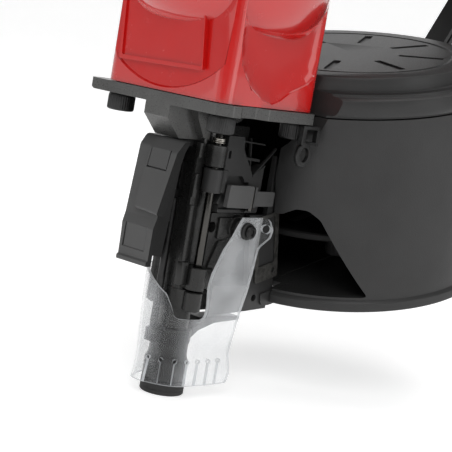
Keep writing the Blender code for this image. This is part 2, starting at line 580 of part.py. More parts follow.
def magazine_body(mats, drum):
    inner = DRUM_R - DRUM_WALL
    cup = turned([(0, 0), (54, 0), (54, RIM_LOW), (DRUM_R, RIM_LOW), (DRUM_R, LID_LOW + 0.6), (inner, LID_LOW + 0.6),
                  (inner, DRUM_WALL), (0, DRUM_WALL)], segments=64)
    shell = cut(cup, box(-70, 70, -70, 0.3, -5, 80))
    left, right = THROAT_V
    throat = box(*THROAT_U, left, right, RIM_LOW, 69.6)
    guard = prism([(5.4, 31.6), (28, 32.4), (40, 33), (40, 42), (5.6, 43)], "y", -11.8, -10.0)
    throat = cut(throat, rod(inner - 0.6, (0, 0), -5, 80, segments=64), box(-53.7, -30, -20, 1.1, -5, 80))
    lid = turned([(0, LID_LOW), (56.5, LID_LOW), (57.4, 74.6), (57.4, 79.8), (56.5, 81), (52, 81), (50.5, 82.4),
                  (50.5, 87), (49.5, 88), (0, 88)], segments=64)
    roof = box(-60, -40, left - 0.4, right + 0.4, 69.3, 75.5)
    lug = box(50, 72, 0.6, 11, 69.5, 75.2)
    hinge = []
    for low, high in ((5, 20), (48, 63)):
        hinge.append(rod(3.6, (HINGE_U, 0), low, high))
        hinge.append(box(54, HINGE_U, 0.6, 3.0, low + 0.5, high - 0.5))
    body = join(shell, throat, moved(guard, DRUM.inverted()), lid, roof, lug, *hinge)
    room = box(-80, -50, left + 2.2, right - 2.2, 3.0, 67.5)
    wing_room = moved(box(27, 37.6, -3.9, 3.9, 20, 37.4), DRUM.inverted())
    body = cut(body, room, wing_room, rod(6.3, (0, 0), 60, 74.5), rod(2.1, (HINGE_U, 0), 0, 66), rod(2.9, (LUG_U, LUG_V), 66, 80),
               *nose_room())
    return finish(body, "magazine_body", mats["black_plastic"], drum)


def magazine_cover(mats, drum):
    inner = DRUM_R - DRUM_WALL
    cup = turned([(0, 0), (54, 0), (54, RIM_LOW), (57.2, RIM_LOW), (57.2, 1.6), (DRUM_R, 2.4), (DRUM_R, DRUM_H),
                  (inner, DRUM_H), (inner, DRUM_WALL), (0, DRUM_WALL)], segments=64)
    right_half = box(-70, 70, -0.3, 70, -5, 80)
    mouth = box(-80, -46, THROAT_V[0] - 1.0, 5, -5, 80)
    window = prism([(-6, 3.4), (-6, 33.5), (-11.4, 34.4), (-16.6, 36.8), (-20.5, 36.8), (-25, 34.1), (-32.9, 19.3),
                    (-41, 3.4)], "x", -80, -30)
    shell = cut(cup, right_half, mouth, window, *nose_room())
    knuckle = rod(3.6, (HINGE_U, 0), 20.4, 47.6)
    web = box(54, HINGE_U, -3.6, -0.3, 20.4, 47.6)
    cover = cut(join(shell, knuckle, web), rod(2.1, (HINGE_U, 0), 0, 66))
    finish(cover, "magazine_cover", mats["black_plastic"], drum, (HINGE_U, 0, 34))


def magazine_parts(mats, drum):
    finish(rod(1.8, (HINGE_U, 0), 4, 64.5, segments=14), "magazine_hinge_pin", mats["bright_steel"], drum)
    post = rod(6.0, (0, 0), DRUM_WALL + 0.4, 74, segments=24)
    finish(post, "platform_post", mats["grey_plastic"], drum)
    platform = turned([(6.4, 12), (9, 12), (9, 22), (46, 22), (46, 25), (6.4, 25)], segments=40)
    finish(platform, "nail_platform", mats["grey_plastic"], drum, (0, 0, 22))
    low = THROAT_V[0] - 0.8
    plate = cut(box(-65.7, -52.1, low, THROAT_V[0] - CLEAR, 7.7, 34), box(-63.4, -53.4, -20, 0, 14, 31))
    plate = cut(plate, rod(1.1, (-55.0, 10.8), -20, 0, "y", 12))
    finish(plate, "wear_plate", mats["bright_steel"], drum)


def magazine_mounts(mats, tool, handle, drum):
    """The hanger from the handle's rear end, and the bracket behind the nose flange."""
    strut = prism([(134.9, 136.9), (148.7, 140.1), (174, 172), (193, 181.0), (192.6, 184.8), (172.6, 183.1),
                   (142.9, 141.8), (134.2, 139.8)], "y", -5, 5)
    head_room = moved(rod(4.7, (HANGER_X, 0), -60, -25), HANDLE)
    top_hole = moved(rod(2.9, (HANGER_X, 0), -40, -10), HANDLE)
    low_hole = moved(rod(2.9, (LUG_U, LUG_V), 60, 90), DRUM)
    low_room = moved(rod(4.7, (LUG_U, LUG_V), 78.5, 110), DRUM)
    strut = cut(strut, head_room, top_hole, low_hole, low_room)
    finish(strut, "magazine_hanger", mats["black_plastic"], tool)
    top_screw = cap_screw(4.3, 4.0, 2.5, 10.2, (HANGER_X, 0), -25.3)
    finish(top_screw, "hanger_screw_top", mats["black_steel"], handle, (HANGER_X, 0, -25))
    low_screw = cap_screw(4.3, 4.0, 2.5, 8.4, (LUG_U, LUG_V), 78.8, up=False)
    finish(low_screw, "hanger_screw_bottom", mats["black_steel"], drum, (LUG_U, LUG_V, 79))
    bracket = join(box(18.0, 27.5, -31.4, -29.4, 99.6, 107.0), rod(4.0, (21.6, 96.2), -31.2, -29.6, "y"))
    bracket = cut(bracket, box(20.4, 26.0, -40, -20, 101.0, 105.0), rod(2.2, (21.6, 96.2), -40, -20, "y"))
    finish(bracket, "magazine_bracket", mats["black_steel"], tool)


# ---------------------------------------------------------------- the whole tool

def main():
    clear_scene()
    mats = make_materials()
    tool = empty("tool_axis", None, AXIS_X, AXIS_Y, 0)
    handle = empty("handle_frame", tool, HANDLE_X, 0, HANDLE_Z, HANDLE_TILT)
    drum = empty("drum_frame", tool, DRUM_X, DRUM_Y, DRUM_Z, DRUM_TILT)
    nose_body(mats, tool)
    nose_screws(mats, tool)
    front_cover(mats, tool)
    contact_arm(mats, tool)
    feed_door(mats, tool)
    chip_shield(mats, tool)
    feed_drive(mats, tool)
    main_housing(mats, tool)
    cylinder_parts(mats, tool)
    cap_parts(mats, tool)
    handle_parts(mats, handle)
    magazine_body(mats, drum)
    magazine_cover(mats, drum)
    magazine_parts(mats, drum)
    magazine_mounts(mats, tool, handle, drum)


main()
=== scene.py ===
import json
import math

import bmesh
import bpy
from mathutils import Matrix, Vector


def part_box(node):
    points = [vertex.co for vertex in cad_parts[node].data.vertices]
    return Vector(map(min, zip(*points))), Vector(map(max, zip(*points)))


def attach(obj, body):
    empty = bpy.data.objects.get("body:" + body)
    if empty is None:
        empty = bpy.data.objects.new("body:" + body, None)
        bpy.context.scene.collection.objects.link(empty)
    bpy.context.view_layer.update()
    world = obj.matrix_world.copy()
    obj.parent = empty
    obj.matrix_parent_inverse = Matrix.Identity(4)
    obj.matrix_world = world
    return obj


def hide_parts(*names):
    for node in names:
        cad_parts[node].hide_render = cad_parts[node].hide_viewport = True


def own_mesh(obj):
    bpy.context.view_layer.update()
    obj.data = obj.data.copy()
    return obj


# Looks of the coil roofing nailer. Pieces are shaped in millimetres in the tool frame: +Z up along the
# driving axis, z = 0 at the contact tip, +X to the rear and -Y to the side with the feed door.

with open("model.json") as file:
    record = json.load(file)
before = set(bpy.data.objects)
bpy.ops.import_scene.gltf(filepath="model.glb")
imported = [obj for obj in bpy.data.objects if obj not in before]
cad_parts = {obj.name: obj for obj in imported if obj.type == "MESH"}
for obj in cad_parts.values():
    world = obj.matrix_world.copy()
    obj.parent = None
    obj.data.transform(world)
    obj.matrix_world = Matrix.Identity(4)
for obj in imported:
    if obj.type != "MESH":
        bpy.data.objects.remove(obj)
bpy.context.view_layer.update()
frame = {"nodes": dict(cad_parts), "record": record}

MM = 0.001
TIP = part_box("contact_tip")
AXIS = Vector(((TIP[0][0] + TIP[1][0]) / 2, (TIP[0][1] + TIP[1][1]) / 2, 0.0))   # driving axis, metres

# Driving dimensions, as in the CAD
FLANGE_LOW, FLANGE_TOP = 107.4, 111.4
HOUSING_LOW = 111.7
BOLT_X, BOLT_Y = 20.9, 23.9
CHANNEL_R = 5.3
GUIDE_LOW = 33.5
PIN_X, PIN_Y = -3.5, -10.2
ROD_X, ROD_Y = -10.4, 0.3
LATCH_X, LATCH_Y = 17.0, -13.4
SHIELD_R, SHIELD_T = 13.0, 1.2
SHIELD_BEND = 25.5
SHIELD_SCREW_X, SHIELD_SCREW_Z = 15.7, 64.4
SLITS, SLIT_START, SLIT_STEP = 7, -18.9, 5.4
CAP_BOLT = 26.5
BARREL_R, BARREL_TOP = 37.0, 235.4
CAP_LOW = 236.8
HANDLE_LEN = 165.0
VALVE_X = 28.0
HANGER_X = 153.0
LUG_U, LUG_V = 62.0, 5.0
DRUM_R, DRUM_WALL, DRUM_H = 56.0, 2.5, 73.0
LID_LOW, RIM_LOW = 73.4, -2.2
THROAT_U, THROAT_V = (-69.0, -49.0), (-6.8, 16.8)
HINGE_U = 60.5
FEED_Y, FEED_Z = 20.2, 77.6
FLAT = math.radians(0.6)      # faces closer than this to level are merged before edges are rounded
CREASE = math.radians(28)     # edges sharper than this are rounded
WELD = 0.001


# ---------------------------------------------------------------- shapes, in millimetres

def to_object(bm, name="shape"):
    bmesh.ops.recalc_face_normals(bm, faces=bm.faces)
    mesh = bpy.data.meshes.new(name)
    bm.to_mesh(mesh)
    bm.free()
    obj = bpy.data.objects.new(name, mesh)
    bpy.context.collection.objects.link(obj)
    return obj


def edge_axis(edge):
    run = edge.verts[1].co - edge.verts[0].co
    return "xyz"[max(range(3), key=lambda i: abs(run[i]))]


def box(x0, x1, y0, y1, z0, z1, bevel=0.0, edges="xyz", segments=5):
    """A block. bevel rounds the edges that run along the axes named in edges."""
    bm = bmesh.new()
    size = Matrix.Diagonal((x1 - x0, y1 - y0, z1 - z0, 1.0))
    middle = Vector(((x0 + x1) / 2, (y0 + y1) / 2, (z0 + z1) / 2))
    bmesh.ops.create_cube(bm, size=1.0, matrix=Matrix.Translation(middle) @ size)
    if bevel:
        chosen = [e for e in bm.edges if edge_axis(e) in edges]
        bmesh.ops.bevel(bm, geom=chosen, offset=bevel, segments=segments, profile=0.5, affect="EDGES")
    return to_object(bm)


def prism(outline, axis, low, high):
    """An outline pushed along an axis. Its points are the two other coordinates, in x, y, z order."""
    bm = bmesh.new()
    at = "xyz".index(axis)
    verts = []
    for a, b in outline:
        point = [a, b]
        point.insert(at, low)
        verts.append(bm.verts.new(point))
    face = bm.faces.new(verts)
    pushed = bmesh.ops.extrude_face_region(bm, geom=[face])
    step = Vector((0, 0, 0))
    step[at] = high - low
    bmesh.ops.translate(bm, vec=step, verts=[v for v in pushed["geom"] if isinstance(v, bmesh.types.BMVert)])
    return to_object(bm)


def rounded(outline, radii, steps=6):
    """An outline with its corners turned into arcs. radii is one radius for all corners, or one each."""
    if not isinstance(radii, (list, tuple)):
        radii = [radii] * len(outline)
    points = []
    for i, corner in enumerate(outline):
        here = Vector(corner)
        to_last = (Vector(outline[i - 1]) - here)
        to_next = (Vector(outline[(i + 1) % len(outline)]) - here)
        reach = min(to_last.length, to_next.length) * 0.48
        a, b = to_last.normalized(), to_next.normalized()
        half = math.acos(max(-1.0, min(1.0, a.dot(b)))) / 2
        if radii[i] <= 0 or half > math.radians(88):
            points.append(tuple(here))
            continue
        back = min(radii[i] / math.tan(half), reach)
        start, end = here + a * back, here + b * back
        for k in range(steps + 1):
            t = k / steps
            points.append(tuple(start * (1 - t) ** 2 + here * 2 * t * (1 - t) + end * t ** 2))
    return points


def turned(profile, centre=(0, 0, 0), axis="z", segments=64, knurl=None):
    """A solid of revolution of (radius, height) points. knurl = (low, high, depth) notches that stretch."""
    bm = bmesh.new()
    rings = []
    for radius, height in profile:
        if radius == 0:
            rings.append([bm.verts.new((0, 0, height))])
            continue
        ring = []
        for i in range(segments):
            turn = 2 * math.pi * i / segments
            out = radius
            if knurl and knurl[0] <= height <= knurl[1] and i % 2 and radius > knurl[3]:
                out -= knurl[2]
            ring.append(bm.verts.new((out * math.cos(turn), out * math.sin(turn), height)))
        rings.append(ring)
    for one, two in zip(rings, rings[1:] + rings[:1]):
        for i in range(segments):
            j = (i + 1) % segments
            corners = [one[i % len(one)], one[j % len(one)], two[j % len(two)], two[i % len(two)]]
            corners = list(dict.fromkeys(corners))
            if len(corners) > 2:
                bm.faces.new(corners)
    bm.transform(Matrix.Translation(centre) @ axis_turn(axis))
    return to_object(bm)


def axis_turn(axis):
    return {
        "z": Matrix(), "x": Matrix.Rotation(math.pi / 2, 4, "Y"), "y": Matrix.Rotation(-math.pi / 2, 4, "X"),
    }[axis]


def spot(centre, axis):
    place = list(centre)
    place.insert("xyz".index(axis), 0.0)
    return place


def rod(radius, centre, low, high, axis="z", segments=48, edge=0.0):
    profile = [(0, low), (radius - edge, low), (radius, low + edge), (radius, high - edge), (radius - edge, high),
               (0, high)]
    if not edge:
        profile = [(0, low), (radius, low), (radius, high), (0, high)]
    return turned(profile, spot(centre, axis), axis, segments)


def tube(outer, inner, centre, low, high, axis="z", segments=64):
    return turned([(inner, low), (outer, low), (outer, high), (inner, high)], spot(centre, axis), axis, segments)


def coil(radius, wire, centre, low, high, turns, axis="z", per_turn=32, sides=10):
    """A helical spring whose end turns lie flat."""
    bm = bmesh.new()
    steps = int(turns * per_turn)
    rings = []
    for i in range(steps + 1):
        turn = 2 * math.pi * turns * i / steps
        rise = max(0.0, min(1.0, (i / per_turn - 0.5) / max(turns - 1.0, 0.1)))
        height = low + wire + (high - low - 2 * wire) * rise
        ring = []
        for k in range(sides):
            around = 2 * math.pi * k / sides
            out = radius + wire * math.cos(around)
            point = (out * math.cos(turn), out * math.sin(turn), height + wire * math.sin(around))
            ring.append(bm.verts.new(point))
        rings.append(ring)
    for one, two in zip(rings, rings[1:]):
        for k in range(sides):
            n = (k + 1) % sides
            bm.faces.new((one[k], one[n], two[n], two[k]))
    bm.faces.new(rings[0])
    bm.faces.new(rings[-1])
    bm.transform(Matrix.Translation(spot(centre, axis)) @ axis_turn(axis))
    return to_object(bm)


def hull(*rings):
    """The smooth skin stretched round rings of points."""
    bm = bmesh.new()
    for ring in rings:
        for point in ring:
            bm.verts.new(point)
    made = bmesh.ops.convex_hull(bm, input=bm.verts[:])
    spare = [v for v in made["geom_interior"] + made["geom_unused"] if isinstance(v, bmesh.types.BMVert)]
    bmesh.ops.delete(bm, geom=spare, context="VERTS")
    return to_object(bm)


def loft(*outlines):
    """A skin through outlines with as many points each, closed at both ends."""
    bm = bmesh.new()
    rings = [[bm.verts.new(point) for point in outline] for outline in outlines]
    bm.faces.new(rings[0])
    bm.faces.new(rings[-1])
    for one, two in zip(rings, rings[1:]):
        for i in range(len(one)):
            j = (i + 1) % len(one)
            bm.faces.new((one[i], one[j], two[j], two[i]))
    return to_object(bm)


def ellipse(cx, cy, z, a, b, steps=48):
    return [(cx + a * math.cos(2 * math.pi * i / steps), cy + b * math.sin(2 * math.pi * i / steps), z)
            for i in range(steps)]


def clean(mesh):
    """Welds and triangulates, so that the next cut finds every face exactly flat."""
    bm = bmesh.new()
    bm.from_mesh(mesh)
    bmesh.ops.remove_doubles(bm, verts=bm.verts[:], dist=WELD)
    bmesh.ops.dissolve_degenerate(bm, edges=bm.edges[:], dist=WELD)
    bmesh.ops.triangulate(bm, faces=[face for face in bm.faces if len(face.verts) > 4])
    bm.to_mesh(mesh)
    bm.free()


def combine(target, tools, operation):
    for tool in tools:
        step = target.modifiers.new("step", "BOOLEAN")
        step.operation = operation
        step.solver = "EXACT"
        step.object = tool
        bpy.context.view_layer.update()
        shape = bpy.data.meshes.new_from_object(target.evaluated_get(bpy.context.evaluated_depsgraph_get()))
        target.modifiers.remove(step)
        target.data = shape
        bpy.data.objects.remove(tool, do_unlink=True)
        clean(shape)
    return target


def join(target, *tools):
    return combine(target, tools, "UNION")


def cut(target, *tools):
    return combine(target, tools, "DIFFERENCE")


def moved(obj, matrix):
    obj.data.transform(matrix)
    return obj


def frame_matrix(x, y, z, tilt):
    """From a tilted frame's coordinates to the tool frame's. Its X axis rises to the rear by tilt degrees."""
    return Matrix.Translation((x, y, z)) @ Matrix.Rotation(-math.radians(tilt), 4, "Y")


HANDLE = frame_matrix(30, 0, 190, 5)
DRUM = frame_matrix(95.5, -5, 50.3, 13)
DRUM_BACK = DRUM.inverted()
TO_WORLD = Matrix.Translation(AXIS) @ Matrix.Scale(MM, 4)


def soften(obj, width, segments=3):
    """Rounds the sharp edges by width millimetres, and shades the rest smoothly."""
    obj.data.shade_smooth()
    if width:
        edge = obj.modifiers.new("soft_edges", "BEVEL")
        edge.width = width * MM
        edge.segments = segments
        edge.limit_method = "ANGLE"
        edge.angle_limit = CREASE
        edge.miter_outer = "MITER_ARC"
        edge.harden_normals = False
    obj.data.set_sharp_from_angle(angle=math.radians(40))


def piece(obj, name, look, body, nodes=None, edge=0.4, into=None, keep_faces=False):
    """Names a shape, takes it from its own frame to the world, and makes it ride on a body."""
    if into is not None:
        obj.data.transform(into)
    if not keep_faces:
        bm = bmesh.new()
        bm.from_mesh(obj.data)
        bmesh.ops.dissolve_limit(bm, angle_limit=FLAT, verts=bm.verts[:], edges=bm.edges[:])
        bm.to_mesh(obj.data)
        bm.free()
    obj.data.transform(TO_WORLD)
    obj.name = obj.data.name = name
    obj.data.materials.clear()
    obj.data.materials.append(LOOKS[look])
    for face in obj.data.polygons:
        face.material_index = 0
    soften(obj, edge)
    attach(obj, body)
    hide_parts(*([name] if nodes is None else nodes))
    return obj


# ---------------------------------------------------------------- materials

def link(mat, source, socket, target, into):
    mat.node_tree.links.new(source.outputs[socket], target.inputs[into])


def look(name, colour, roughness, metallic=0.0, shade=0.25, patch=60.0, grain=900.0, bump=0.15, rough_swing=0.12,
         coat=0.0, stretch=(1, 1, 1), specular=0.5):
    """A surface whose colour drifts in patches, and whose roughness and relief follow a fine grain.

    shade is the share by which the colour drifts, patch and grain are features per metre, and bump is the
    relief's strength. stretch draws the grain out, as brushing does.
    """
    mat = bpy.data.materials.new(name)
    mat.use_nodes = True
    nodes = mat.node_tree.nodes
    shader = nodes["Principled BSDF"]
    shader.inputs["Metallic"].default_value = metallic
    shader.inputs["Specular IOR Level"].default_value = specular
    if coat:
        shader.inputs["Coat Weight"].default_value = coat
        shader.inputs["Coat Roughness"].default_value = 0.04
    where = nodes.new("ShaderNodeTexCoord")
    scale = nodes.new("ShaderNodeMapping")
    scale.inputs["Scale"].default_value = stretch
    link(mat, where, "Object", scale, "Vector")

    patches = nodes.new("ShaderNodeTexNoise")
    patches.inputs["Scale"].default_value = patch
    patches.inputs["Detail"].default_value = 5.0
    link(mat, where, "Object", patches, "Vector")
    ramp = nodes.new("ShaderNodeValToRGB")
    ramp.color_ramp.elements[0].position = 0.3
    ramp.color_ramp.elements[1].position = 0.7
    ramp.color_ramp.elements[0].color = (*[c * (1 - shade) for c in colour], 1)
    ramp.color_ramp.elements[1].color = (*[min(1, c * (1 + shade)) for c in colour], 1)
    link(mat, patches, "Fac", ramp, "Fac")
    link(mat, ramp, "Color", shader, "Base Color")

    fine = nodes.new("ShaderNodeTexNoise")
    fine.inputs["Scale"].default_value = grain
    fine.inputs["Detail"].default_value = 3.0
    link(mat, scale, "Vector", fine, "Vector")
    spread = nodes.new("ShaderNodeMapRange")
    spread.inputs["From Min"].default_value = 0.3
    spread.inputs["From Max"].default_value = 0.7
    spread.inputs["To Min"].default_value = max(0.02, roughness * (1 - rough_swing))
    spread.inputs["To Max"].default_value = min(1.0, roughness * (1 + rough_swing))
    link(mat, fine, "Fac", spread, "Value")
    link(mat, spread, "Result", shader, "Roughness")
    relief = nodes.new("ShaderNodeBump")
    relief.inputs["Strength"].default_value = bump
    relief.inputs["Distance"].default_value = 0.0002
    link(mat, fine, "Fac", relief, "Height")
    link(mat, relief, "Normal", shader, "Normal")
    return mat


def clear_look(name, low, high):
    """Clear plastic sheet: an alpha of low where seen straight on and high where seen aslant, a little uneven. The rise
    at a slant is a painted reflection.
    """
    mat = look(name, (0.78, 0.80, 0.82), 0.07, 0.0, 0.03, 30.0, 300.0, 0.02, 0.3, 0.0, (1, 1, 0.2))
    nodes = mat.node_tree.nodes
    slant = nodes.new("ShaderNodeLayerWeight")
    slant.inputs["Blend"].default_value = 0.5
    painted_reflection_alpha = nodes.new("ShaderNodeMapRange")
    painted_reflection_alpha.inputs["From Min"].default_value = 0.03
    painted_reflection_alpha.inputs["From Max"].default_value = 0.36
    painted_reflection_alpha.inputs["To Min"].default_value = low
    painted_reflection_alpha.inputs["To Max"].default_value = high
    link(mat, slant, "Facing", painted_reflection_alpha, "Value")
    where = nodes.new("ShaderNodeTexCoord")
    smears = nodes.new("ShaderNodeTexNoise")
    smears.inputs["Scale"].default_value = 110.0
    smears.inputs["Detail"].default_value = 5.0
    link(mat, where, "Object", smears, "Vector")
    uneven = nodes.new("ShaderNodeMapRange")
    uneven.inputs["From Min"].default_value = 0.35
    uneven.inputs["From Max"].default_value = 0.65
    uneven.inputs["To Min"].default_value = 0.80
    uneven.inputs["To Max"].default_value = 1.20
    link(mat, smears, "Fac", uneven, "Value")
    both = nodes.new("ShaderNodeMath")
    both.operation = "MULTIPLY"
    mat.node_tree.links.new(painted_reflection_alpha.outputs["Result"], both.inputs[0])
    mat.node_tree.links.new(uneven.outputs["Result"], both.inputs[1])
    link(mat, both, "Value", nodes["Principled BSDF"], "Alpha")
    return mat


def nose_look():
    """The nose casting, with painted shade: its colour darkens below the flange's block."""
    mat = look("nose_cast", (0.085, 0.085, 0.083), 0.30, 0.60, 0.12, 90, 1800, 0.30, 0.15)
    nodes = mat.node_tree.nodes
    where = nodes.new("ShaderNodeTexCoord")
    split = nodes.new("ShaderNodeSeparateXYZ")
    link(mat, where, "Object", split, "Vector")
    height = nodes.new("ShaderNodeMapRange")
    height.interpolation_type = "SMOOTHSTEP"
    height.inputs["From Min"].default_value = 92 * MM
    height.inputs["From Max"].default_value = 99 * MM
    height.inputs["To Min"].default_value = 0.30
    height.inputs["To Max"].default_value = 1.0
    link(mat, split, "Z", height, "Value")
    # scales the colour down below the block: painted shade
    painted_shade = nodes.new("ShaderNodeVectorMath")
    painted_shade.operation = "SCALE"
    shader = nodes["Principled BSDF"]
    colour = shader.inputs["Base Color"].links[0].from_socket
    mat.node_tree.links.new(colour, painted_shade.inputs[0])
    mat.node_tree.links.new(height.outputs["Result"], painted_shade.inputs["Scale"])
    mat.node_tree.links.new(painted_shade.outputs["Vector"], shader.inputs["Base Color"])
    return mat


def make_looks():
    return {
        "red_paint": look("red_paint", (0.46, 0.004, 0.003), 0.24, 0.0, 0.05, 25, 260, 0.04, 0.15, 0.9),
        "cast_grey": look("cast_grey", (0.072, 0.072, 0.070), 0.38, 0.50, 0.12, 90, 1800, 0.30, 0.15),
        "black_steel": look("black_steel", (0.032, 0.032, 0.032), 0.34, 0.8, 0.35, 220, 1500, 0.20, 0.2),
        "bright_steel": look("bright_steel", (0.46, 0.44, 0.40), 0.26, 1.0, 0.25, 160, 1400, 0.10, 0.3),
        "black_plastic": look("black_plastic", (0.020, 0.020, 0.020), 0.42, 0.0, 0.12, 70, 2200, 0.25, 0.12, 0.0, (1, 1, 1),
                              0.35),
        "grey_plastic": look("grey_plastic", (0.058, 0.058, 0.058), 0.44, 0.0, 0.08, 70, 2200, 0.25, 0.12, 0.0, (1, 1, 1),
                             0.4),
        "rubber": look("rubber", (0.016, 0.016, 0.016), 0.72, 0.0, 0.20, 110, 1600, 0.45, 0.1),
        "aluminium": look("aluminium", (0.50, 0.50, 0.49), 0.36, 1.0, 0.08, 90, 1500, 0.15, 0.2, 0.0, (1, 1, 0.15)),
        "clear_plastic": clear_look("clear_plastic", 0.02, 0.23),
        "clear_edge_highlight": clear_look("clear_edge_highlight", 0.45, 0.65),
        "nose_cast": nose_look(),
        "painted_shade_black": look("painted_shade_black", (0.006, 0.006, 0.006), 0.60, 0.0, 0.2, 70, 1500, 0.2, 0.1, 0.0, (1, 1, 1),
                            0.2),
        "worn_steel": look("worn_steel", (0.085, 0.083, 0.078), 0.45, 0.8, 0.45, 450, 1600, 0.15, 0.25),
        "dark_pin": look("dark_pin", (0.07, 0.068, 0.064), 0.20, 1.0, 0.15, 120, 1400, 0.05, 0.3),
    }


LOOKS = make_looks()


def dress_cad_nodes():
    """Every CAD node gets its slot's look and soft edges. Refined pieces then stand for some of them."""
    for part in frame["record"]["subparts"]:
        node = frame["nodes"][part["node"]]
        node.data.materials.clear()
        node.data.materials.append(LOOKS[part["material_slot"]])
        edge = node.modifiers.new("soft_edges", "BEVEL")
        edge.width = 0.25 * MM
        edge.segments = 2
        edge.limit_method = "ANGLE"
        edge.angle_limit = CREASE


# ---------------------------------------------------------------- screws

def cap_screw(head_r, head_h, shank_r, shank_len, centre, top, up=True):
    """A socket cap screw with a knurled head. top is its seat, and up says which way the shank points."""
    way = 1 if up else -1
    low, high = sorted((top - way * head_h * 0.16, top - way * head_h * 0.86))
    profile = [
        (0, top - way * head_h * 0.35), (head_r * 0.56, top - way * head_h * 0.35),
        (head_r * 0.56, top - way * head_h * 0.97), (head_r * 0.60, top - way * head_h),
        (head_r * 0.86, top - way * head_h), (head_r * 0.97, top - way * head_h * 0.94),
        (head_r, top - way * head_h * 0.85), (head_r, top - way * head_h * 0.17),
        (head_r * 0.98, top - way * head_h * 0.10), (head_r * 0.94, top),
        (shank_r, top), (shank_r, top + way * shank_len), (0, top + way * shank_len),
    ]
    return turned(profile, (*centre, 0), "z", 72, (low, high, head_r * 0.045, head_r * 0.9))


def screws():
    corners = {"front_right": (-1, 1), "front_left": (-1, -1), "rear_left": (1, -1), "rear_right": (1, 1)}
    for corner, (sx, sy) in corners.items():
        nose = cap_screw(5.0, 6.0, 2.9, 17.0, (sx * BOLT_X, sy * BOLT_Y), FLANGE_LOW - 0.3)
        piece(nose, "nose_screw_" + corner, "black_steel", "tool", edge=0.12)
        cap = cap_screw(4.25, 5.0, 2.5, 22.0, (sx * CAP_BOLT, sy * CAP_BOLT), 246.3, up=False)
        piece(cap, "cap_screw_" + corner, "black_steel", "tool", edge=0.12)
    top = cap_screw(4.3, 4.0, 2.5, 10.2, (HANGER_X, 0), -25.3)
    piece(top, "hanger_screw_top", "black_steel", "tool", edge=0.12, into=HANDLE)
    low = cap_screw(4.3, 4.0, 2.5, 8.4, (LUG_U, LUG_V), 78.8, up=False)
    piece(low, "hanger_screw_bottom", "black_steel", "tool", edge=0.12, into=DRUM)
    cap = cap_screw(5.0, 4.0, 3.0, 14.0, (0, 0), 270.3, up=False)
    piece(cap, "deflector_screw", "black_steel", "tool", edge=0.12)


# ---------------------------------------------------------------- nose

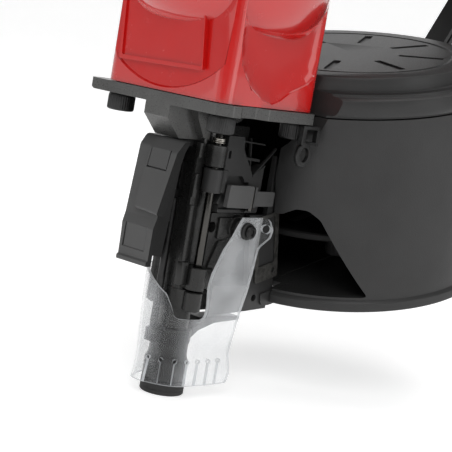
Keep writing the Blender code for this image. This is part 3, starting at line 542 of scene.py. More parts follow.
def nose_body():
    flange = prism(rounded([
        (-28, -26), (-24, -31), (-19.5, -31), (-16, -28), (-8, -28), (-4, -31), (23, -31), (27, -27),
        (27, 27), (23, 31), (-12, 31), (-18, 36), (-25, 36), (-28, 33),
    ], 1.5), "z", FLANGE_LOW, FLANGE_TOP)
    corner = hull([(-30, 29, 107), (-22, 38, 107), (-30, 38, 107)], [(-30, 34, 110.4), (-26.5, 38, 110.4), (-30, 38, 110.4)])
    flange = cut(flange, corner)
    block = prism([(-28, FLANGE_LOW + 1), (-28, 103), (-20.5, 96), (-6, 96), (-6, FLANGE_LOW + 1)], "y", -5.7, 5.7)
    guide = box(-7.4, 9, -7.2, 9, GUIDE_LOW + 0.5, FLANGE_LOW + 1, 1.2, "z", 3)
    foot = box(-7.8, 9.5, -9.6, 9.6, GUIDE_LOW, 41, 4.5, "z", 8)
    fillet = [(-4.5, -5.0, 96.2), (-6, -6.6, 98.5), (-7, -9, 101.2), (-8, -12.6, 103.8), (-9, -18, 106), (-9, -24, 107.6)]
    webs = []
    for (x0, y0, z0), (x1, y1, z1) in zip(fillet, fillet[1:]):
        webs.append(hull([(x0, y0, z0), (x1, y1, z1), (x0, y0, 108), (x1, y1, 108)],
                         [(6, y0 * 0.8, z0 + 1.5), (8, y1 * 0.8, z1 + 0.8), (6, y0 * 0.8, 108), (8, y1 * 0.8, 108)]))
    cheek = prism([(-16.5, FLANGE_LOW + 0.5), (-15, 104), (-10.5, 97.2), (-5.5, 96.4), (-7.5, 101), (-9, FLANGE_LOW + 0.5)],
                  "y", -8.6, -5.0)
    track = box(8, 34, 5.8, 8.7, 56, 101)
    side_wall = prism(rounded([(-1.5, 70), (24, 70), (24, 60), (19, 52), (2, 46.5), (-1.5, 46.5)], 1.2),
                      "y", -9.4, -6.0)
    wall_pad = box(4.8, 12.6, -10.4, -9.2, 60.4, 68.6, 0.6, "xyz", 2)
    diagonal = prism([(1.0, 47.2), (4.2, 47.8), (10.8, 57.8), (9.2, 59.6), (6.2, 59.6)], "y", -10.2, -9.2)
    rail = box(-11.0, -8.6, -8.6, -6.4, 51, 95.2, 0.6, "z", 3)
    rail_web = box(-9.4, -6.8, -7.8, -6.6, 52, 94, 0.3, "z", 2)
    heel = box(-11.2, -7.0, -9.3, -6.4, 43.0, 52.0, 0.7, "xyz", 3)
    body = join(flange, block, guide, foot, *webs, cheek, track, side_wall, wall_pad, diagonal, rail, rail_web, heel)
    for low, high in ((87.4, 95.3), (41.6, 50.0)):
        lug = rod(3.7, (PIN_X, PIN_Y), low, high, edge=0.2)
        web = box(PIN_X - 3.3, PIN_X + 3.3, PIN_Y, -6, low + 0.4, high - 0.4)
        body = join(body, lug, web)
    sleeve = rod(3.5, (PIN_X, PIN_Y), 33.6, 40.8, edge=0.3)
    sleeve_web = box(PIN_X - 3.0, PIN_X + 3.0, PIN_Y, -6, 34.2, 40.4)
    tab = box(PIN_X, 4.6, -11.6, -8.2, 41.9, 49.6, 0.5, "xyz", 2)
    left_boss = rod(4.0, (SHIELD_SCREW_X, SHIELD_SCREW_Z), -12.6, -8, "y", edge=0.3)
    left_collar = rod(4.9, (SHIELD_SCREW_X, SHIELD_SCREW_Z), -10.6, -9.0, "y", edge=0.3)
    right_boss = rod(4.0, (SHIELD_SCREW_X, SHIELD_SCREW_Z), 6.4, 12.6, "y")
    body = join(body, sleeve, sleeve_web, tab, left_boss, left_collar, right_boss)
    holes = [rod(3.3, (sx * BOLT_X, sy * BOLT_Y), 100, 115) for sx in (-1, 1) for sy in (-1, 1)]
    heads = [rod(5.3, (sx * BOLT_X, sy * BOLT_Y), 98, FLANGE_LOW) for sx in (-1, 1) for sy in (-1, 1)]
    cuts = [
        rod(CHANNEL_R, (0, 0), 20, 120),
        box(0, 40, -6.4, 5.0, 56, 100.5),
        box(0.2, 40, -20, 1, 70.2, 99.3),
        box(3.6, 17.4, 4, 12, 75, 80),
        rod(2.2, (SHIELD_SCREW_X, SHIELD_SCREW_Z), -20, -7.5, "y"),
        rod(2.2, (SHIELD_SCREW_X, SHIELD_SCREW_Z), 7.3, 20, "y"),
        rod(2.1, (1.8, 64.8), -20, -6.6, "y"),
        rod(1.8, (PIN_X, PIN_Y), 32, 99),
        rod(4.1, (PIN_X, PIN_Y), 50.4, 87.0),
        rod(3.9, (PIN_X, PIN_Y), 95.6, 101.6),
        box(-12, -8.0, -12, -7.8, 72.5, 75.5),
        box(-12, -8.0, -12, -7.8, 84.0, 90.0),
    ]
    body = cut(body, *holes, *heads, *cuts)
    nozzle = tube(6.1, CHANNEL_R - 0.4, (0, 0), 12, GUIDE_LOW + 1)
    piece(join(body, nozzle), "nose_body", "nose_cast", "tool", edge=0.35)


def front_cover():
    base = prism(rounded([(-11.3, 95.4), (-20.0, 95.4), (-23.0, 91.6), (-27.0, 67), (-28.2, 63.4), (-28.3, 52.0),
                          (-29.1, 51.5), (-29.1, 50), (-11.3, 50)],
                         [0, 2.5, 2.5, 3.0, 2.0, 0.5, 0.4, 0.4, 0]), "y", -7.5, 9.6)
    panel = hull([(x, -10.5, z) for x, z in rounded([(-11.4, 95.5), (-21.8, 95.5), (-25.2, 91.2), (-29.2, 68.6),
                                                     (-11.4, 66.8)], [0, 2.5, 3.0, 1.0, 0])],
                 [(x, 3.4, z) for x, z in rounded([(-11.4, 95.5), (-21.8, 95.5), (-25.2, 91.2), (-28.9, 69.6),
                                                   (-11.4, 66.8)], [0, 2.5, 3.0, 1.0, 0])])
    trim = prism(rounded([(2.6, 96), (2.6, 68.4), (-8.6, 66.8), (-10.6, 96)], [1.5, 4.5, 1.0, 0]), "x", -40, 0)
    trimmed = combine(panel, [trim], "INTERSECT")
    base = cut(base, prism([(6.8, 48), (7.2, 60), (9.8, 97), (14, 97), (14, 48)], "x", -40, 0))
    shell = join(base, trimmed)
    room = prism([(-5, 93.4), (-19, 93.4), (-20.4, 90.5), (-24.2, 66), (-26.2, 62), (-26.2, 40), (-5, 40)],
                 "y", -5.4, 6.6)
    side_room = prism([(-8, 97), (-18.4, 97), (-21, 91.6), (-25.2, 67), (-26.2, 62), (-26.2, 40), (-8, 40)],
                      "y", -12, -5)
    wall = prism([(-17.0, 93.6), (-19, 94), (-21.4, 90), (-25.6, 66), (-27, 60), (-27, 54), (-20.2, 53.2)],
                 "y", -6.4, -5.7)
    shell = join(cut(shell, room, side_room), wall)
    inset = [(-7.2, 91.4), (-7.2, 84.8), (1.8, 84.8), (1.8, 91.4)]
    deep = loft([(-29.0, y, z) for y, z in inset], [(-24.95 + (z - 91.4) * 0.172, y, z) for y, z in inset])
    edge_right = loft([(-29.0, y, z) for y, z in [(-7.5, 91.6), (-7.5, 84.6), (-7.0, 84.6), (-7.0, 91.6)]],
                      [(-24.2 + (z - 91.6) * 0.172, y, z) for y, z in [(-7.5, 91.6), (-7.5, 84.6), (-7.0, 84.6),
                                                                        (-7.0, 91.6)]])
    edge_low = box(-29, -25.3, -7.5, 1.9, 84.3, 84.8)
    dish = hull([(-29.0, y, z) for y, z in [(-5.8, 64.5), (-5.8, 54), (6.4, 54), (6.4, 64.5)]],
                [(-27.9, y, z) for y, z in [(-4.6, 63.5), (-4.6, 55.2), (5.4, 55.2), (5.4, 63.5)]])
    cover = cut(shell, deep, edge_right, edge_low, dish)
    piece(cover, "front_cover", "grey_plastic", "tool", edge=0.5)
    # faces looking out to the open side get a near-black look: painted shade
    cover.data.materials.append(LOOKS["painted_shade_black"])
    for face in cover.data.polygons:
        face.material_index = int(face.normal.y < -0.7)


def contact_arm():
    foot = turned([
        (6.5, 0.8), (7.35, 0.8), (7.35, 5.3), (8.0, 5.3), (8.2, 5.6), (8.2, 12.8), (7.7, 13.4), (7.3, 15.0),
        (7.2, 19.0), (7.6, 20.2), (7.6, 25.0), (6.5, 25.0),
    ], segments=96)
    lug = box(-11.7, -6.9, -2.6, 3.2, 20.0, 24.8, 1.2, "z", 4)
    wing = prism(rounded([(5.0, 17.5), (7.4, 20.2), (12, 23.4), (21, 25.8), (35.5, 26.3), (36.5, 27.6), (24, 28.6),
                          (11, 28.6), (11, 24.6), (5.0, 24.6)], [0, 1, 3, 3, 0.4, 0.6, 6, 0.6, 0.5, 0]), "y", -3.2, 3.2)
    rib = prism([(11.2, 24.2), (24, 27.0), (24, 28.2), (11.2, 28.2)], "y", -3.8, 3.8)
    foot = cut(join(foot, lug, wing, rib), rod(6.5, (0, 0), -2, 30, segments=96),
               rod(1.9, (ROD_X, ROD_Y), 20.5, 30))
    piece(foot, "contact_foot", "black_steel", "contact_arm", edge=0.3)
    ribs = [(6.6, 0), (8.0, 0), (8.3, 0.4), (8.3, 1.6), (8.1, 1.8), (8.3, 2.0), (8.3, 4.9), (8.1, 5.1), (7.7, 5.1),
            (7.7, 0.5), (6.6, 0.5)]
    piece(turned(ribs, segments=96), "contact_tip", "rubber", "contact_arm", edge=0.12)
    bar = turned([(0, 20.8), (1.1, 20.8), (1.4, 21.2), (1.4, 73.6), (1.1, 74.0), (0, 74.0)], (ROD_X, ROD_Y, 0))
    piece(bar, "contact_rod", "black_steel", "contact_arm", edge=0.0)
    arm = join(
        box(-20.0, -9.2, -1.8, 2.4, 74.3, 77.3),
        rod(1.3, (-16.9, ROD_Y), 60.0, 75.0),
        box(-11.0, -8.9, -1.6, 2.2, 74.8, 87.0),
        box(-10.8, -8.6, -1.2, 15.4, 84.2, 87.2),
        box(-10.6, 30.0, 13.4, 15.6, 84.6, 92.0),
        box(28.4, 30.2, 10.0, 15.2, 85.0, 126.0),
    )
    arm = cut(arm, rod(2.2, (0, 88.4), 10, 20, "y"), rod(2.2, (20, 88.4), 10, 20, "y"))
    piece(arm, "contact_link", "black_steel", "contact_arm", edge=0.3)


def feed_door():
    panel = box(0.6, 24.4, -11.4, -6.8, 70.6, 99.0, 0.8, "y", 3)
    knuckle = rod(3.7, (PIN_X, PIN_Y), 78.0, 86.7, edge=0.3)
    web = box(PIN_X, 1.6, -13.2, -8.6, 78.2, 86.5, 0.5, "z", 3)
    tail = prism([(1.0, 78.3), (4.5, 78.3), (0.5, 73.6), (-1.2, 74.2)], "y", -12.0, -8.0)
    seat = box(15.0, 19.0, -13.0, -11.0, 71.0, 72.4)
    door = join(panel, knuckle, web, tail, seat)
    cuts = [
        prism([(18.1, 84.8), (25.4, 89.4), (25.4, 100), (9.6, 100), (10.8, 94)], "y", -20, -4),
        box(0.7, 16.6, -14, -9.4, 71.8, 82.2),
        prism(rounded([(2.6, 82), (14.5, 82), (12.0, 84.4), (3.4, 84.2)], 0.8), "y", -20, -9.8),
        rod(1.8, (PIN_X, PIN_Y), 60, 99),
        rod(1.3, (LATCH_X, LATCH_Y), 70, 73),
        box(2.0, 3.4, -14, -10.2, 90.6, 93.6, 0.4, "y", 2),
    ]
    door = cut(door, *cuts)
    bars = [
        prism([(11.4, 90.6), (21.6, 90.0), (21.6, 90.9), (11.4, 91.5)], "y", -10.9, -8.8),
        prism([(10.4, 97.0), (24.0, 96.2), (24.0, 96.7), (10.4, 97.5)], "y", -10.6, -9.0),
        prism([(15.2, 98.6), (15.7, 98.6), (17.9, 86.6), (17.4, 86.6)], "y", -10.2, -9.2),
        prism([(18.2, 84.2), (24.4, 88.1), (24.4, 88.8), (18.0, 84.9)], "y", -11.7, -8.0),
        prism([(18.3, 84.3), (30.0, 94.9), (30.0, 95.7), (18.0, 84.9)], "y", -11.6, -10.6),
    ]
    piece(join(door, *bars), "feed_door", "black_plastic", "door", edge=0.25)
    pin = turned([(0, 36), (1.2, 36), (1.5, 36.4), (1.5, 99.6), (1.2, 100), (0, 100)], (PIN_X, PIN_Y, 0))
    piece(pin, "door_hinge_pin", "dark_pin", "tool", edge=0.0)
    spring = coil(2.05, 0.4, (PIN_X, PIN_Y), 95.75, 97.9, 3)
    piece(spring, "door_hinge_spring", "bright_steel", "tool", edge=0.0)
    plate = prism(rounded([(1.4, 73.2), (14.8, 72.9), (15.4, 73.4), (16.2, 80.6), (15.6, 81.3), (1.8, 81.5)], 0.6),
                  "y", -15.0, -13.2)
    heel = box(13.0, 20.0, -14.0, -11.8, 73.2, 80.8, 0.6, "z", 3)
    hook = box(19.0, 30.5, -13.9, -12.6, 73.6, 79.2, 0.7, "y", 3)
    lever = cut(join(plate, heel, hook), rod(1.4, (LATCH_X, LATCH_Y), 60, 90, segments=24))
    piece(lever, "door_latch", "grey_plastic", "latch", edge=0.2)


def smooth(value, start, end):
    """0 at start, 1 at end, smooth between."""
    t = max(0.0, min(1.0, (value - start) / (end - start)))
    return t * t * (3 - 2 * t)


def shield_point(s, z, t):
    """A point of the shield: s runs along the sheet from the left side, and t is depth in the sheet."""
    radius = SHIELD_R + t - 1.2 * smooth(z, 40, 14)
    length = math.pi * SHIELD_R
    side = SHIELD_R + t
    squeeze = 3.2 * smooth(z, 58, 44)
    if s > SHIELD_BEND:
        past = s - SHIELD_BEND
        slant = math.radians(45)
        return Vector((SHIELD_BEND + past * math.cos(slant) - t * math.sin(slant) * 0.4,
                       -side - past * math.sin(slant), z))
    if s >= 0:
        ease = max(0.0, 1 - s / 10.0)
        return Vector((s, -(radius * ease + side * (1 - ease)), z))
    if s >= -length:
        turn = -s / SHIELD_R
        inset = squeeze * smooth(-s, length * 0.5, length * 0.85)
        flare = 1.2 * smooth(z, 14, 5) * smooth(-s, 16, 20) * smooth(-s, 30, 24)
        return Vector((-(radius + flare) * math.sin(turn), -(radius - inset + flare) * math.cos(turn), z))
    past = -s - length
    ease = max(0.0, 1 - past / 10.0)
    return Vector((past, radius * ease + side * (1 - ease) - squeeze, z))


def chip_shield():
    far = math.pi * SHIELD_R
    outline = rounded([
        (20.0, 5.2), (21.2, 9.0), (18.6, 17.0), (20.0, 25.0), (22.0, 34.0), (24.0, 41.5), (25.6, 52.0),
        (26.2, 57.8), (29.8, 62.0), (30.4, 65.2), (28.6, 69.2), (14.4, 69.2), (11.6, 65.0), (9.8, 61.8), (6.0, 57.0),
        (1.6, 48.0), (0.6, 43.0), (2.0, 35.5), (1.6, 30.8), (-11.0, 30.6), (-12.5, 34.5), (-15.0, 39.0),
        (-19.0, 41.5), (-24.0, 45.0), (-28.5, 47.4), (-far, 47.4), (-far - 4, 50.0), (-far - 11.0, 62.0),
        (-far - 12.0, 69.2), (-far - 21.5, 69.2), (-far - 21.0, 52.0), (-far - 20.0, 34.0), (-far - 18.0, 25.0),
        (-far - 18.0, 17.0), (-far - 19.5, 9.0), (-far - 18.5, 5.2),
    ], [1.5, 3, 6, 8, 8, 8, 8, 4, 2, 3.5, 2.5, 1.5, 2, 3, 6, 6, 5, 4, 3.2, 3.6, 4, 4, 4, 4, 4, 4, 4, 6, 2, 2, 8, 8, 6, 6,
        3, 1.5])
    sheet = prism(outline, "y", 0, SHIELD_T)
    cuts = [
        rod(2.6, (SHIELD_SCREW_X, SHIELD_SCREW_Z), -5, 5, "y"),
        rod(2.6, (-far - SHIELD_SCREW_X, SHIELD_SCREW_Z), -5, 5, "y"),
        rod(1.7, (27.9, 65.2), -5, 5, "y"),
    ]
    for i in range(SLITS):
        s = SLIT_START + SLIT_STEP * i
        cuts.append(rod(0.85, (s, 14.4), -5, 5, "y", 16))
        cuts.append(box(s - 0.13, s + 0.13, -5, 5, 0, 14.0))
    sheet = cut(sheet, *cuts)
    bm = bmesh.new()
    bm.from_mesh(sheet.data)
    folds = [-far * i / 36 for i in range(37)] + [10.0, SHIELD_BEND, -far - 10.0]
    levels = [5.0 + 2.6 * i for i in range(20)]
    planes = [((fold, 0, 0), (1, 0, 0)) for fold in folds] + [((0, 0, level), (0, 0, 1)) for level in levels]
    for place, way in planes:
        bmesh.ops.bisect_plane(bm, geom=bm.verts[:] + bm.edges[:] + bm.faces[:], plane_co=place, plane_no=way,
                               dist=1e-4)
    bmesh.ops.triangulate(bm, faces=bm.faces[:])
    rim = [abs(face.normal.y) < 0.5 for face in bm.faces]
    for vert in bm.verts:
        s, t, z = vert.co
        vert.co = shield_point(s, z, t)
    bpy.data.objects.remove(sheet, do_unlink=True)
    made = to_object(bm)
    piece(made, "chip_shield", "clear_plastic", "tool", edge=0.0, keep_faces=True)
    # the sheet's rim faces get a more opaque whitish look: a painted highlight along the edges
    made.data.materials.append(LOOKS["clear_edge_highlight"])
    for face, on_rim in zip(made.data.polygons, rim):
        face.material_index = 1 if on_rim else 0
    made.data.set_sharp_from_angle(angle=math.radians(30))
    for side, way in (("left", -1), ("right", 1)):
        ring = [(2.2, 14.4), (2.8, 14.4), (3.2, 14.7), (3.3, 15.2), (3.2, 15.8), (2.8, 16.1), (2.2, 16.1)]
        grommet = turned([(r, way * h) for r, h in ring], (SHIELD_SCREW_X, 0, SHIELD_SCREW_Z), "y")
        piece(grommet, "shield_grommet_" + side, "rubber", "tool", edge=0.0)
        bolt = [(0, 8.0), (1.8, 8.0), (1.8, 16.3), (2.5, 16.3), (2.7, 16.6), (2.7, 17.1), (2.4, 17.6), (1.9, 17.9),
                (1.4, 17.9), (1.2, 17.7), (1.2, 17.3), (0, 17.3)]
        screw = turned([(r, way * h) for r, h in bolt], (SHIELD_SCREW_X, 0, SHIELD_SCREW_Z), "y")
        piece(screw, "shield_screw_" + side, "black_steel", "tool", edge=0.0)


# ---------------------------------------------------------------- housing and head

def arc(cx, cz, rx, rz, start, end, steps):
    """Points of an ellipse's arc, in degrees."""
    points = []
    for i in range(steps + 1):
        turn = math.radians(start + (end - start) * i / steps)
        points.append((cx + rx * math.cos(turn), cz + rz * math.sin(turn)))
    return points


def scoop(side):
    """The hollow in a flank of the housing: steep at its rim, then rounding into a flat floor."""
    outline = rounded([(-22.6, 132), (-21.0, 125.6), (-17.5, 121.1), (-13.1, 117.3), (-6.6, 114.2), (-0.4, 112.9),
                       (3.9, 114.4), (9.1, 117.6), (14.5, 119.8), (18.9, 121.6), (22.0, 124.8), (23.6, 131), (24.2, 149),
                       (-23.4, 149)], 2.5, 4)
    rings = []
    for step in range(7):
        turn = math.radians(15 * step)
        size = 1 - 0.34 * (1 - math.cos(turn))
        rings.append([(1 + (x - 1) * size, side * (28.6 - 2.7 * math.sin(turn)), 149 + (z - 149) * size)
                      for x, z in outline])
    return loft(*rings)


def main_housing():
    block = box(-27, 27, -28.5, 28.5, HOUSING_LOW, 152, 5.5, "z", 10)
    front_scoop = turned([(0, -25.2), (30, -26.05), (37.2, -26.3), (37.9, -27.1), (37.9, -32), (0, -32)],
                         (0, 1.0, 150.7), "x", 128)
    block = cut(block, front_scoop, scoop(-1), scoop(1))
    eye = hull([(-15.9, -30, 119.9), (-13.4, -30, 116.9), (-12.5, -30, 117.3), (-15.0, -30, 120.4)],
               [(-15.6, -26.2, 119.6), (-13.4, -26.2, 117.2), (-12.8, -26.2, 117.5), (-15.0, -26.2, 120.1)])
    pad = prism(rounded([(-17.5, 121.2), (22, 120.0), (24, 142), (-14.5, 142)], 1.2), "x", -27.9, -20)
    shelf = prism(rounded([(-17.0, 122.6), (20.8, 121.5), (22.6, 142), (-13.8, 142)], 1.0), "x", -30, -27.1)
    block = join(cut(block, eye), cut(pad, shelf))
    profile = [(0, 128)] + arc(24.0, 156, 13.0, 20.0, -90, 0, 16) + [
        (BARREL_R, 226.0), (BARREL_R + 0.5, 227.2), (BARREL_R + 0.5, BARREL_TOP), (0, BARREL_TOP)]
    barrel = turned(profile, segments=128)
    for level in (178.0, 202.0):
        ring = tube(BARREL_R + 3, BARREL_R - 0.5, (0, 0), level, level + 1.4, segments=128)
        barrel = cut(barrel, ring)
    grip = moved(box(0, HANDLE_LEN, -15, 15, -19, 19, 7.0, "x", 8), HANDLE)
    root = moved(hull(
        [(20, y, z) for y, z in rounded([(-15, -19), (15, -19), (15, 19), (-15, 19)], 7.0)],
        [(2, y, z) for y, z in rounded([(-18, -24), (18, -24), (18, 23), (-18, 23)], 8.0)],
    ), HANDLE)
    ears = []
    for sx in (-1, 1):
        for sy in (-1, 1):
            ears.append(turned([(0, 205), (1.0, 206), (6.0, 216), (6.0, BARREL_TOP), (0, BARREL_TOP)],
                               (sx * CAP_BOLT, sy * CAP_BOLT, 0)))
    lugs = [moved(prism(rounded([(5, -15), (17, -15), (16.5, -27), (13, -30), (8, -30), (5, -26)], 2.5),
                        "y", y, y + 3.4), HANDLE) for y in (-11, 7.6)]
    body = join(block, barrel, root, grip, *ears, *lugs)
    cuts = [
        rod(25.6, (0, 0), 105, 200, segments=96),
        rod(33.0, (0, 0), 160, 240, segments=96),
        moved(box(-6, HANDLE_LEN + 5, -11, 11, -14, 14), HANDLE),
        moved(rod(8.3, (VALVE_X, 0), -25, -5), HANDLE),
        moved(rod(2.3, (11, -26), -20, 20, "y"), HANDLE),
        moved(rod(2.9, (HANGER_X, 0), -25, -10), HANDLE),
    ]
    cuts += [rod(3.02, (sx * BOLT_X, sy * BOLT_Y), 105, 120) for sx in (-1, 1) for sy in (-1, 1)]
    cuts += [rod(2.9, (sx * CAP_BOLT, sy * CAP_BOLT), 220, 240) for sx in (-1, 1) for sy in (-1, 1)]
    piece(cut(body, *cuts), "main_housing", "red_paint", "tool", edge=0.6)


def cylinder_cap():
    dome = turned([(0, CAP_LOW), (37.6, CAP_LOW), (38, CAP_LOW + 0.4), (38, 251), (37.4, 254.5), (35.5, 258),
                   (32.8, 260.6), (29.5, 262), (0, 262)], segments=128)
    ears = [turned([(0, CAP_LOW), (6.2, CAP_LOW), (6.2, 246), (0, 246)], (sx * CAP_BOLT, sy * CAP_BOLT, 0))
            for sx in (-1, 1) for sy in (-1, 1)]
    body = join(dome, *ears)
    cuts = [rod(5.0, (sx * CAP_BOLT, sy * CAP_BOLT), 246, 270) for sx in (-1, 1) for sy in (-1, 1)]
    cuts += [rod(2.9, (sx * CAP_BOLT, sy * CAP_BOLT), 230, 250) for sx in (-1, 1) for sy in (-1, 1)]
    cuts += [rod(3.5, (13 * math.cos(a), 13 * math.sin(a)), 240, 270)
             for a in (0, math.pi / 2, math.pi, 3 * math.pi / 2)]
    for i in range(7):
        slot = box(33, 45, -1.4, 1.4, 240 + 0.0, 250, 1.0, "x", 3)
        turn = math.radians(-27 + 9 * i + 180)
        cuts.append(moved(slot, Matrix.Rotation(turn, 4, "Z") @ Matrix.Translation((3.6, 0, 0))))
    body = cut(body, rod(30.0, (0, 0), 230, 252.5, segments=96), rod(3.3, (0, 0), 240, 270), *cuts)
    piece(body, "cylinder_cap", "black_plastic", "tool", edge=0.5)
    plate = turned([(3.4, 262.3), (6, 262.3), (6, 267), (21, 267), (21, 262.3), (23.6, 262.3), (24, 262.7),
                    (24, 267.6), (23.2, 269.2), (21.6, 270), (9, 270), (8.4, 269.4), (3.4, 269.4)], segments=96)
    openings = []
    for i in range(9):
        turn = math.radians(-36 + 9 * i)
        openings.append(moved(box(18, 30, -1.1, 1.1, 263.4, 266.6, 0.5, "x", 2), Matrix.Rotation(turn, 4, "Z")))
    piece(cut(plate, *openings), "exhaust_deflector", "black_plastic", "deflector", edge=0.35)


# ---------------------------------------------------------------- handle and trigger

def handle_parts():
    sleeve = box(50, 138, -17.4, 17.4, -21.4, 21.4, 8.0, "x", 10)
    pads = []
    for i in range(22):
        x = 54 + 3.7 * i
        pads.append(box(x, x + 2.1, -18, 18, -22, 22, 8.4, "x", 8))
    sleeve = join(sleeve, *pads)
    sleeve = cut(sleeve, box(40, 150, -15.4, 15.4, -19.4, 19.4, 7.2, "x", 8))
    piece(sleeve, "grip_sleeve", "rubber", "tool", edge=0.3, into=HANDLE)
    cap = join(box(HANDLE_LEN + 0.3, HANDLE_LEN + 12, -16, 16, -20, 20, 6.0, "x", 8),
               box(HANDLE_LEN - 7, HANDLE_LEN + 1, -10.6, 10.6, -13.6, 13.6))
    face = rod(10.5, (0, 0), HANDLE_LEN + 11.4, HANDLE_LEN + 14, "x")
    cap = cut(cap, rod(6.6, (0, 0), HANDLE_LEN - 20, HANDLE_LEN + 20, "x"), face)
    piece(cap, "end_cap", "aluminium", "tool", edge=0.8, into=HANDLE)
    plug = turned([
        (2.8, 160), (6.3, 160), (6.3, 177.4), (7.4, 177.4), (7.4, 184), (5.0, 184.6), (5.0, 190), (5.6, 190.4),
        (6.0, 190.9), (6.0, 193.6), (5.4, 194.4), (4.2, 195), (4.2, 202.8), (3.6, 204), (2.8, 204),
    ], (0, 0, 0), "x", 64)
    nut = turned([(7.2, 177.4), (8.1, 177.8), (8.1, 183.6), (7.2, 184)], (0, 0, 0), "x", 6)
    nut_core = turned([(5.5, 177.4), (8.1, 177.8), (8.1, 183.6), (5.5, 184)], (0, 0, 0), "x", 6)
    bpy.data.objects.remove(nut, do_unlink=True)
    piece(join(plug, nut_core), "air_plug", "bright_steel", "tool", edge=0.2, into=HANDLE)
    valve = turned([(2.3, -23), (9.2, -23), (9.6, -22.6), (9.6, -19.4), (8.0, -19.4), (8.0, -3), (2.3, -3)],
                   (VALVE_X, 0, 0))
    piece(valve, "trigger_valve", "black_plastic", "tool", edge=0.2, into=HANDLE)
    outline = rounded([(6.5, -24.5), (14, -24.0), (17, -25.7), (36, -25.7), (41, -33), (38, -36.5), (30, -32.5),
                       (20, -32), (12, -31), (6.5, -29)], [1, 1, 1, 2, 3, 2.5, 6, 6, 3, 2])
    lever = prism(outline, "y", -7, 7)
    grooves = [rod(0.6, (18 + 2.4 * i, -32.6 + 0.0 * i), -9, 9, "y", 16) for i in range(5)]
    lever = cut(lever, rod(2.3, (11, -26), -20, 20, "y"), *grooves)
    piece(lever, "trigger", "black_plastic", "trigger", edge=0.6, into=HANDLE)


# ---------------------------------------------------------------- magazine

def nose_room():
    """What the magazine leaves free for the nose and the flange above it."""
    return [moved(box(-60, 30.6, -60, 60, 69.8, 104.2), DRUM_BACK), moved(box(-60, 31.0, -80, 80, 103.8, 160), DRUM_BACK)]


def magazine_body():
    inner = DRUM_R - DRUM_WALL
    cup = turned([(0, 0), (54, 0), (54, RIM_LOW), (DRUM_R - 0.6, RIM_LOW), (DRUM_R, RIM_LOW + 0.6),
                  (DRUM_R, LID_LOW + 0.6), (inner, LID_LOW + 0.6), (inner, DRUM_WALL), (0, DRUM_WALL)], segments=160)
    shell = cut(cup, box(-70, 70, -70, 0.3, -5, 80))
    left, right = THROAT_V
    throat = box(*THROAT_U, left, right, RIM_LOW, 69.6)
    guard = prism(rounded([(5.4, 31.6), (28, 32.4), (40, 33), (40, 42), (5.6, 43)], [2, 4, 0, 0, 0.6]), "y", -11.8, -10.0)
    throat = cut(throat, rod(inner - 0.6, (0, 0), -5, 80, segments=160), box(-53.7, -30, -20, 1.1, -5, 80))
    lid = turned([(0, LID_LOW), (55.4, LID_LOW), (55.4, 74.2), (56.8, 74.4), (57.3, 75.2), (57.4, 76.4), (57.4, 79.4),
                  (57.0, 80.5), (56.2, 81.0), (54.8, 81.2), (54.4, 81.5), (54.2, 82.2), (51.4, 82.3), (50.6, 82.8),
                  (50.5, 83.8), (50.5, 86.6), (50.0, 87.6), (49.0, 88), (42.5, 88), (42.0, 87.4), (41.0, 87.4),
                  (40.5, 88), (0, 88)], segments=160)
    roof = box(-60, -40, left - 0.4, right + 0.4, 69.3, 75.5)
    lug = box(50, 72, 0.6, 11, 69.5, 75.2, 1.5, "z", 4)
    body = join(shell, throat, moved(guard, DRUM_BACK), lid, roof, lug)
    for low, high in ((5, 20), (48, 63)):
        body = join(body, rod(3.6, (HINGE_U, 0), low, high, edge=0.4),
                    box(54, HINGE_U, 0.6, 3.0, low + 0.5, high - 0.5))
    for i in range(6):
        turn = math.radians(25 + 26 * i)
        rib = moved(box(DRUM_R - 1, DRUM_R + 0.9, -1.2, 1.2, 3, 72.5, 0.5, "z", 2), Matrix.Rotation(turn, 4, "Z"))
        body = join(body, rib)
    for i in range(8):
        turn = math.radians(22.5 + 45 * i)
        spoke = moved(box(20, 38, -1.6, 1.6, 87.2, 90, 0.7, "z", 3), Matrix.Rotation(turn, 4, "Z"))
        body = cut(body, spoke)
    room = box(-80, -50, left + 2.2, right - 2.2, 3.0, 67.5)
    wing_room = moved(box(27, 37.6, -3.9, 3.9, 20, 37.4), DRUM_BACK)
    sill = prism(rounded([(-62, 2.6), (-62, RIM_LOW), (-57, -3.2), (-52, -3.4), (-45, RIM_LOW), (-38, RIM_LOW),
                          (-38, 2.6)], [0, 3, 4, 4, 4, 0, 0]), "y", left - 0.7, left + 1.5)
    body = join(body, sill)
    slots = [moved(box(x, x + 2.8, -16, -9.9, 73.0, 91.0), DRUM_BACK) for x in (34.2, 37.8)]
    eye = moved(rod(1.4, (31.4, 37.4), -16, -9, "y"), DRUM_BACK)
    body = cut(body, room, wing_room, *slots, eye, rod(6.3, (0, 0), 60, 74.5), rod(2.1, (HINGE_U, 0), 0, 66),
               rod(2.9, (LUG_U, LUG_V), 66, 80), *nose_room())
    piece(body, "magazine_body", "black_plastic", "tool", edge=0.45, into=DRUM)


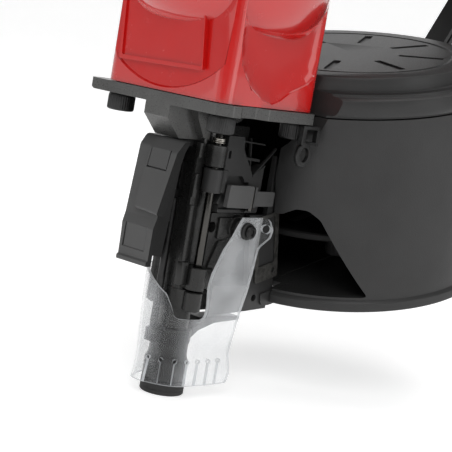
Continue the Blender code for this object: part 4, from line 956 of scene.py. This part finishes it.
def magazine_cover():
    inner = DRUM_R - DRUM_WALL
    cup = turned([(0, 0), (54, 0), (54, RIM_LOW), (56.8, RIM_LOW), (57.2, RIM_LOW + 0.4), (57.2, 1.2), (56.7, 1.9),
                  (DRUM_R, 2.4), (DRUM_R, DRUM_H), (inner, DRUM_H), (inner, DRUM_WALL), (0, DRUM_WALL)], segments=160)
    right_half = box(-70, 70, -0.3, 70, -5, 80)
    mouth = box(-80, -46, THROAT_V[0] - 1.0, 5, -5, 80)
    window = prism(rounded([(-6, 3.4), (-6, 33.5), (-11.4, 34.4), (-16.6, 37.0), (-21.2, 37.0), (-25.6, 33.6),
                            (-32.9, 19.3), (-41, 3.4)], [0, 0, 2, 4, 5, 6, 6, 1]), "x", -80, -30)
    shell = cut(cup, right_half, mouth, window, *nose_room())
    knuckle = rod(3.6, (HINGE_U, 0), 20.4, 47.6, edge=0.4)
    web = box(54, HINGE_U, -3.0, -0.5, 20.6, 47.4)
    cover = cut(join(shell, knuckle, web), rod(2.1, (HINGE_U, 0), 0, 66))
    piece(cover, "magazine_cover", "black_plastic", "cover", edge=0.45, into=DRUM)


def magazine_small_parts():
    low = THROAT_V[0] - 0.8
    plate = box(-65.7, -52.1, low, THROAT_V[0] - 0.3, 7.7, 34, 0.8, "y", 3)
    plate = cut(plate, box(-63.8, -54.0, -20, 0, 14, 32.6, 0.6, "y", 3), rod(1.1, (-55.0, 10.8), -20, 0, "y"))
    piece(plate, "wear_plate", "worn_steel", "tool", edge=0.1, into=DRUM)
    latch_pin = turned([(0, 71.6), (0.8, 71.6), (1.0, 71.8), (1.0, 80.8), (0.8, 81.0), (0, 81.0)], (LATCH_X, LATCH_Y, 0))
    piece(latch_pin, "latch_pin", "dark_pin", "door", edge=0.0)
    platform = turned([(6.4, 12), (8.6, 12), (9, 12.4), (9, 21.4), (9.6, 22), (45.4, 22), (46, 22.6), (46, 24.4),
                       (45.4, 25), (40, 25), (39.5, 24.5), (14, 24.5), (13.5, 25), (6.4, 25)], segments=96)
    for i in range(6):
        slot = moved(box(18, 34, -2, 2, 20, 27, 1.5, "z", 4), Matrix.Rotation(math.radians(60 * i), 4, "Z"))
        platform = cut(platform, slot)
    # the platform deep inside the drum gets a near-black look: painted shade
    piece(platform, "nail_platform", "painted_shade_black", "platform", edge=0.2, into=DRUM)
    strut = prism(rounded([(134.9, 136.9), (148.7, 140.1), (174, 172), (193, 181.0), (192.6, 184.8),
                           (172.6, 183.1), (142.9, 141.8), (134.2, 139.8)], [0, 2, 6, 1, 0, 5, 3, 0]), "y", -5, 5)
    pocket = prism(rounded([(150.0, 146.0), (173.5, 175.5), (171.5, 177.5), (149.0, 146.8)], 1), "y", -6, -3.4)
    cuts = [
        moved(rod(4.7, (HANGER_X, 0), -60, -25), HANDLE), moved(rod(2.9, (HANGER_X, 0), -40, -10), HANDLE),
        moved(rod(2.9, (LUG_U, LUG_V), 60, 90), DRUM), moved(rod(4.7, (LUG_U, LUG_V), 78.5, 110), DRUM), pocket,
    ]
    piece(cut(strut, *cuts), "magazine_hanger", "black_plastic", "tool", edge=0.6)
    bracket = join(box(17.4, 27.5, -31.4, -29.4, 99.9, 107.0, 0.4, "y", 2),
                   rod(4.4, (20.4, 96.2), -31.2, -29.6, "y", edge=0.3))
    bracket = cut(bracket, box(19.6, 26.2, -40, -20, 101.2, 105.8), rod(2.7, (20.6, 96.4), -40, -20, "y"))
    piece(bracket, "magazine_bracket", "black_steel", "tool", edge=0.25)


def springs():
    """The three springs that a joint presses, each with flat end turns and a mesh of its own."""
    contact = piece(coil(2.6, 0.45, (-16.9, ROD_Y), 77.7, 93.0, 6), "contact_spring", "bright_steel", "tool", edge=0.0)
    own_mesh(contact)
    valve = piece(coil(20, 0.7, (0, 0), 245.4, 252.1, 3, per_turn=64), "head_valve_spring", "bright_steel", "tool",
                  edge=0.0)
    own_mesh(valve)
    feed = piece(coil(3.2, 0.45, (FEED_Y, FEED_Z), 20.4, 31.0, 6, "x"), "feed_spring", "bright_steel", "tool",
                 edge=0.0)
    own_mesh(feed)


# ---------------------------------------------------------------- floor, light and camera

def stage():
    bm = bmesh.new()
    depth, width, curve, high = 3.0, 4.0, 1.2, 4.0
    line = [(-depth, 0.0), (depth, 0.0)]
    line += [(depth + curve * math.sin(math.radians(a)), curve - curve * math.cos(math.radians(a)))
             for a in range(9, 91, 9)]
    line.append((depth + curve, high))
    rows = [[bm.verts.new((along, side, up)) for along, up in line] for side in (-width, width)]
    for i in range(len(line) - 1):
        bm.faces.new((rows[0][i], rows[0][i + 1], rows[1][i + 1], rows[1][i]))
    sweep = to_object(bm, "floor")
    sweep.data.transform(Matrix.Rotation(math.radians(38), 4, "Z"))
    sweep.data.shade_smooth()
    white = look("floor_white", (0.86, 0.86, 0.86), 0.8, 0.0, 0.01, 4, 50, 0.02, 0.05)
    shader = white.node_tree.nodes["Principled BSDF"]
    shader.inputs["Emission Color"].default_value = (1, 1, 1, 1)
    shader.inputs["Emission Strength"].default_value = 0.50
    sweep.data.materials.append(white)
    card = box(-400, 400, -2, 2, 60, 1100)
    card.data.transform(Matrix.Scale(MM, 4))
    card.data.transform(Matrix.Translation((-0.95, -0.74, 0)) @ Matrix.Rotation(math.radians(-52), 4, "Z"))
    card.name = "dark_card"
    card.data.materials.append(look("card_black", (0.01, 0.01, 0.01), 0.9, 0.0, 0.1, 10, 60, 0.02, 0.05))
    card.visible_camera = False
    card.visible_shadow = False


def area_light(name, place, aim, size, power, colour=(1, 1, 1)):
    data = bpy.data.lights.new(name, "AREA")
    data.shape = "RECTANGLE"
    data.size, data.size_y = size
    data.energy = power
    data.color = colour
    lamp = bpy.data.objects.new(name, data)
    bpy.context.collection.objects.link(lamp)
    lamp.location = place
    lamp.rotation_euler = (Vector(aim) - Vector(place)).to_track_quat("-Z", "Y").to_euler()


def lights():
    middle = (0.0, 0.0, 0.12)
    area_light("key", (-1.5, -1.2, 1.5), middle, (1.4, 1.4), 25)
    area_light("side", (0.3, -2.0, 0.7), middle, (1.2, 1.6), 9)
    area_light("fill", (-2.1, 0.8, 0.6), middle, (1.2, 1.4), 4)
    area_light("top", (0.2, 0.1, 2.2), middle, (1.8, 1.8), 14)
    world = bpy.data.worlds.new("studio")
    bpy.context.scene.world = world
    world.use_nodes = True
    world.node_tree.nodes["Background"].inputs["Color"].default_value = (1, 1, 1, 1)
    world.node_tree.nodes["Background"].inputs["Strength"].default_value = 0.28


def camera():
    """The photograph's view: from the front left, low, and rolled a little."""
    turn, rise, roll = math.radians(52.0), math.radians(7.8), math.radians(9.8)
    distance = 525.5
    aim_across, aim_up = 24.4, 61.6
    right = Vector((math.cos(turn), -math.sin(turn), 0))
    back = Vector((-math.sin(turn) * math.cos(rise), -math.cos(turn) * math.cos(rise), math.sin(rise)))
    up = back.cross(right)
    right_rolled = right * math.cos(roll) + up * math.sin(roll)
    up_rolled = up * math.cos(roll) - right * math.sin(roll)
    place = back * distance + right_rolled * aim_across + up_rolled * aim_up
    data = bpy.data.cameras.new("camera")
    data.lens = 111.5
    data.sensor_width = 36.0
    data.clip_start = 0.01
    data.clip_end = 20.0
    cam = bpy.data.objects.new("camera", data)
    bpy.context.collection.objects.link(cam)
    pose = Matrix((right_rolled, up_rolled, back)).transposed().to_4x4()
    pose.translation = AXIS + place * MM
    cam.matrix_world = pose
    bpy.context.scene.camera = cam
    bpy.context.scene.view_settings.view_transform = "Standard"


dress_cad_nodes()
screws()
nose_body()
front_cover()
contact_arm()
feed_door()
chip_shield()
main_housing()
cylinder_cap()
handle_parts()
magazine_body()
magazine_cover()
magazine_small_parts()
springs()
stage()
lights()
camera()
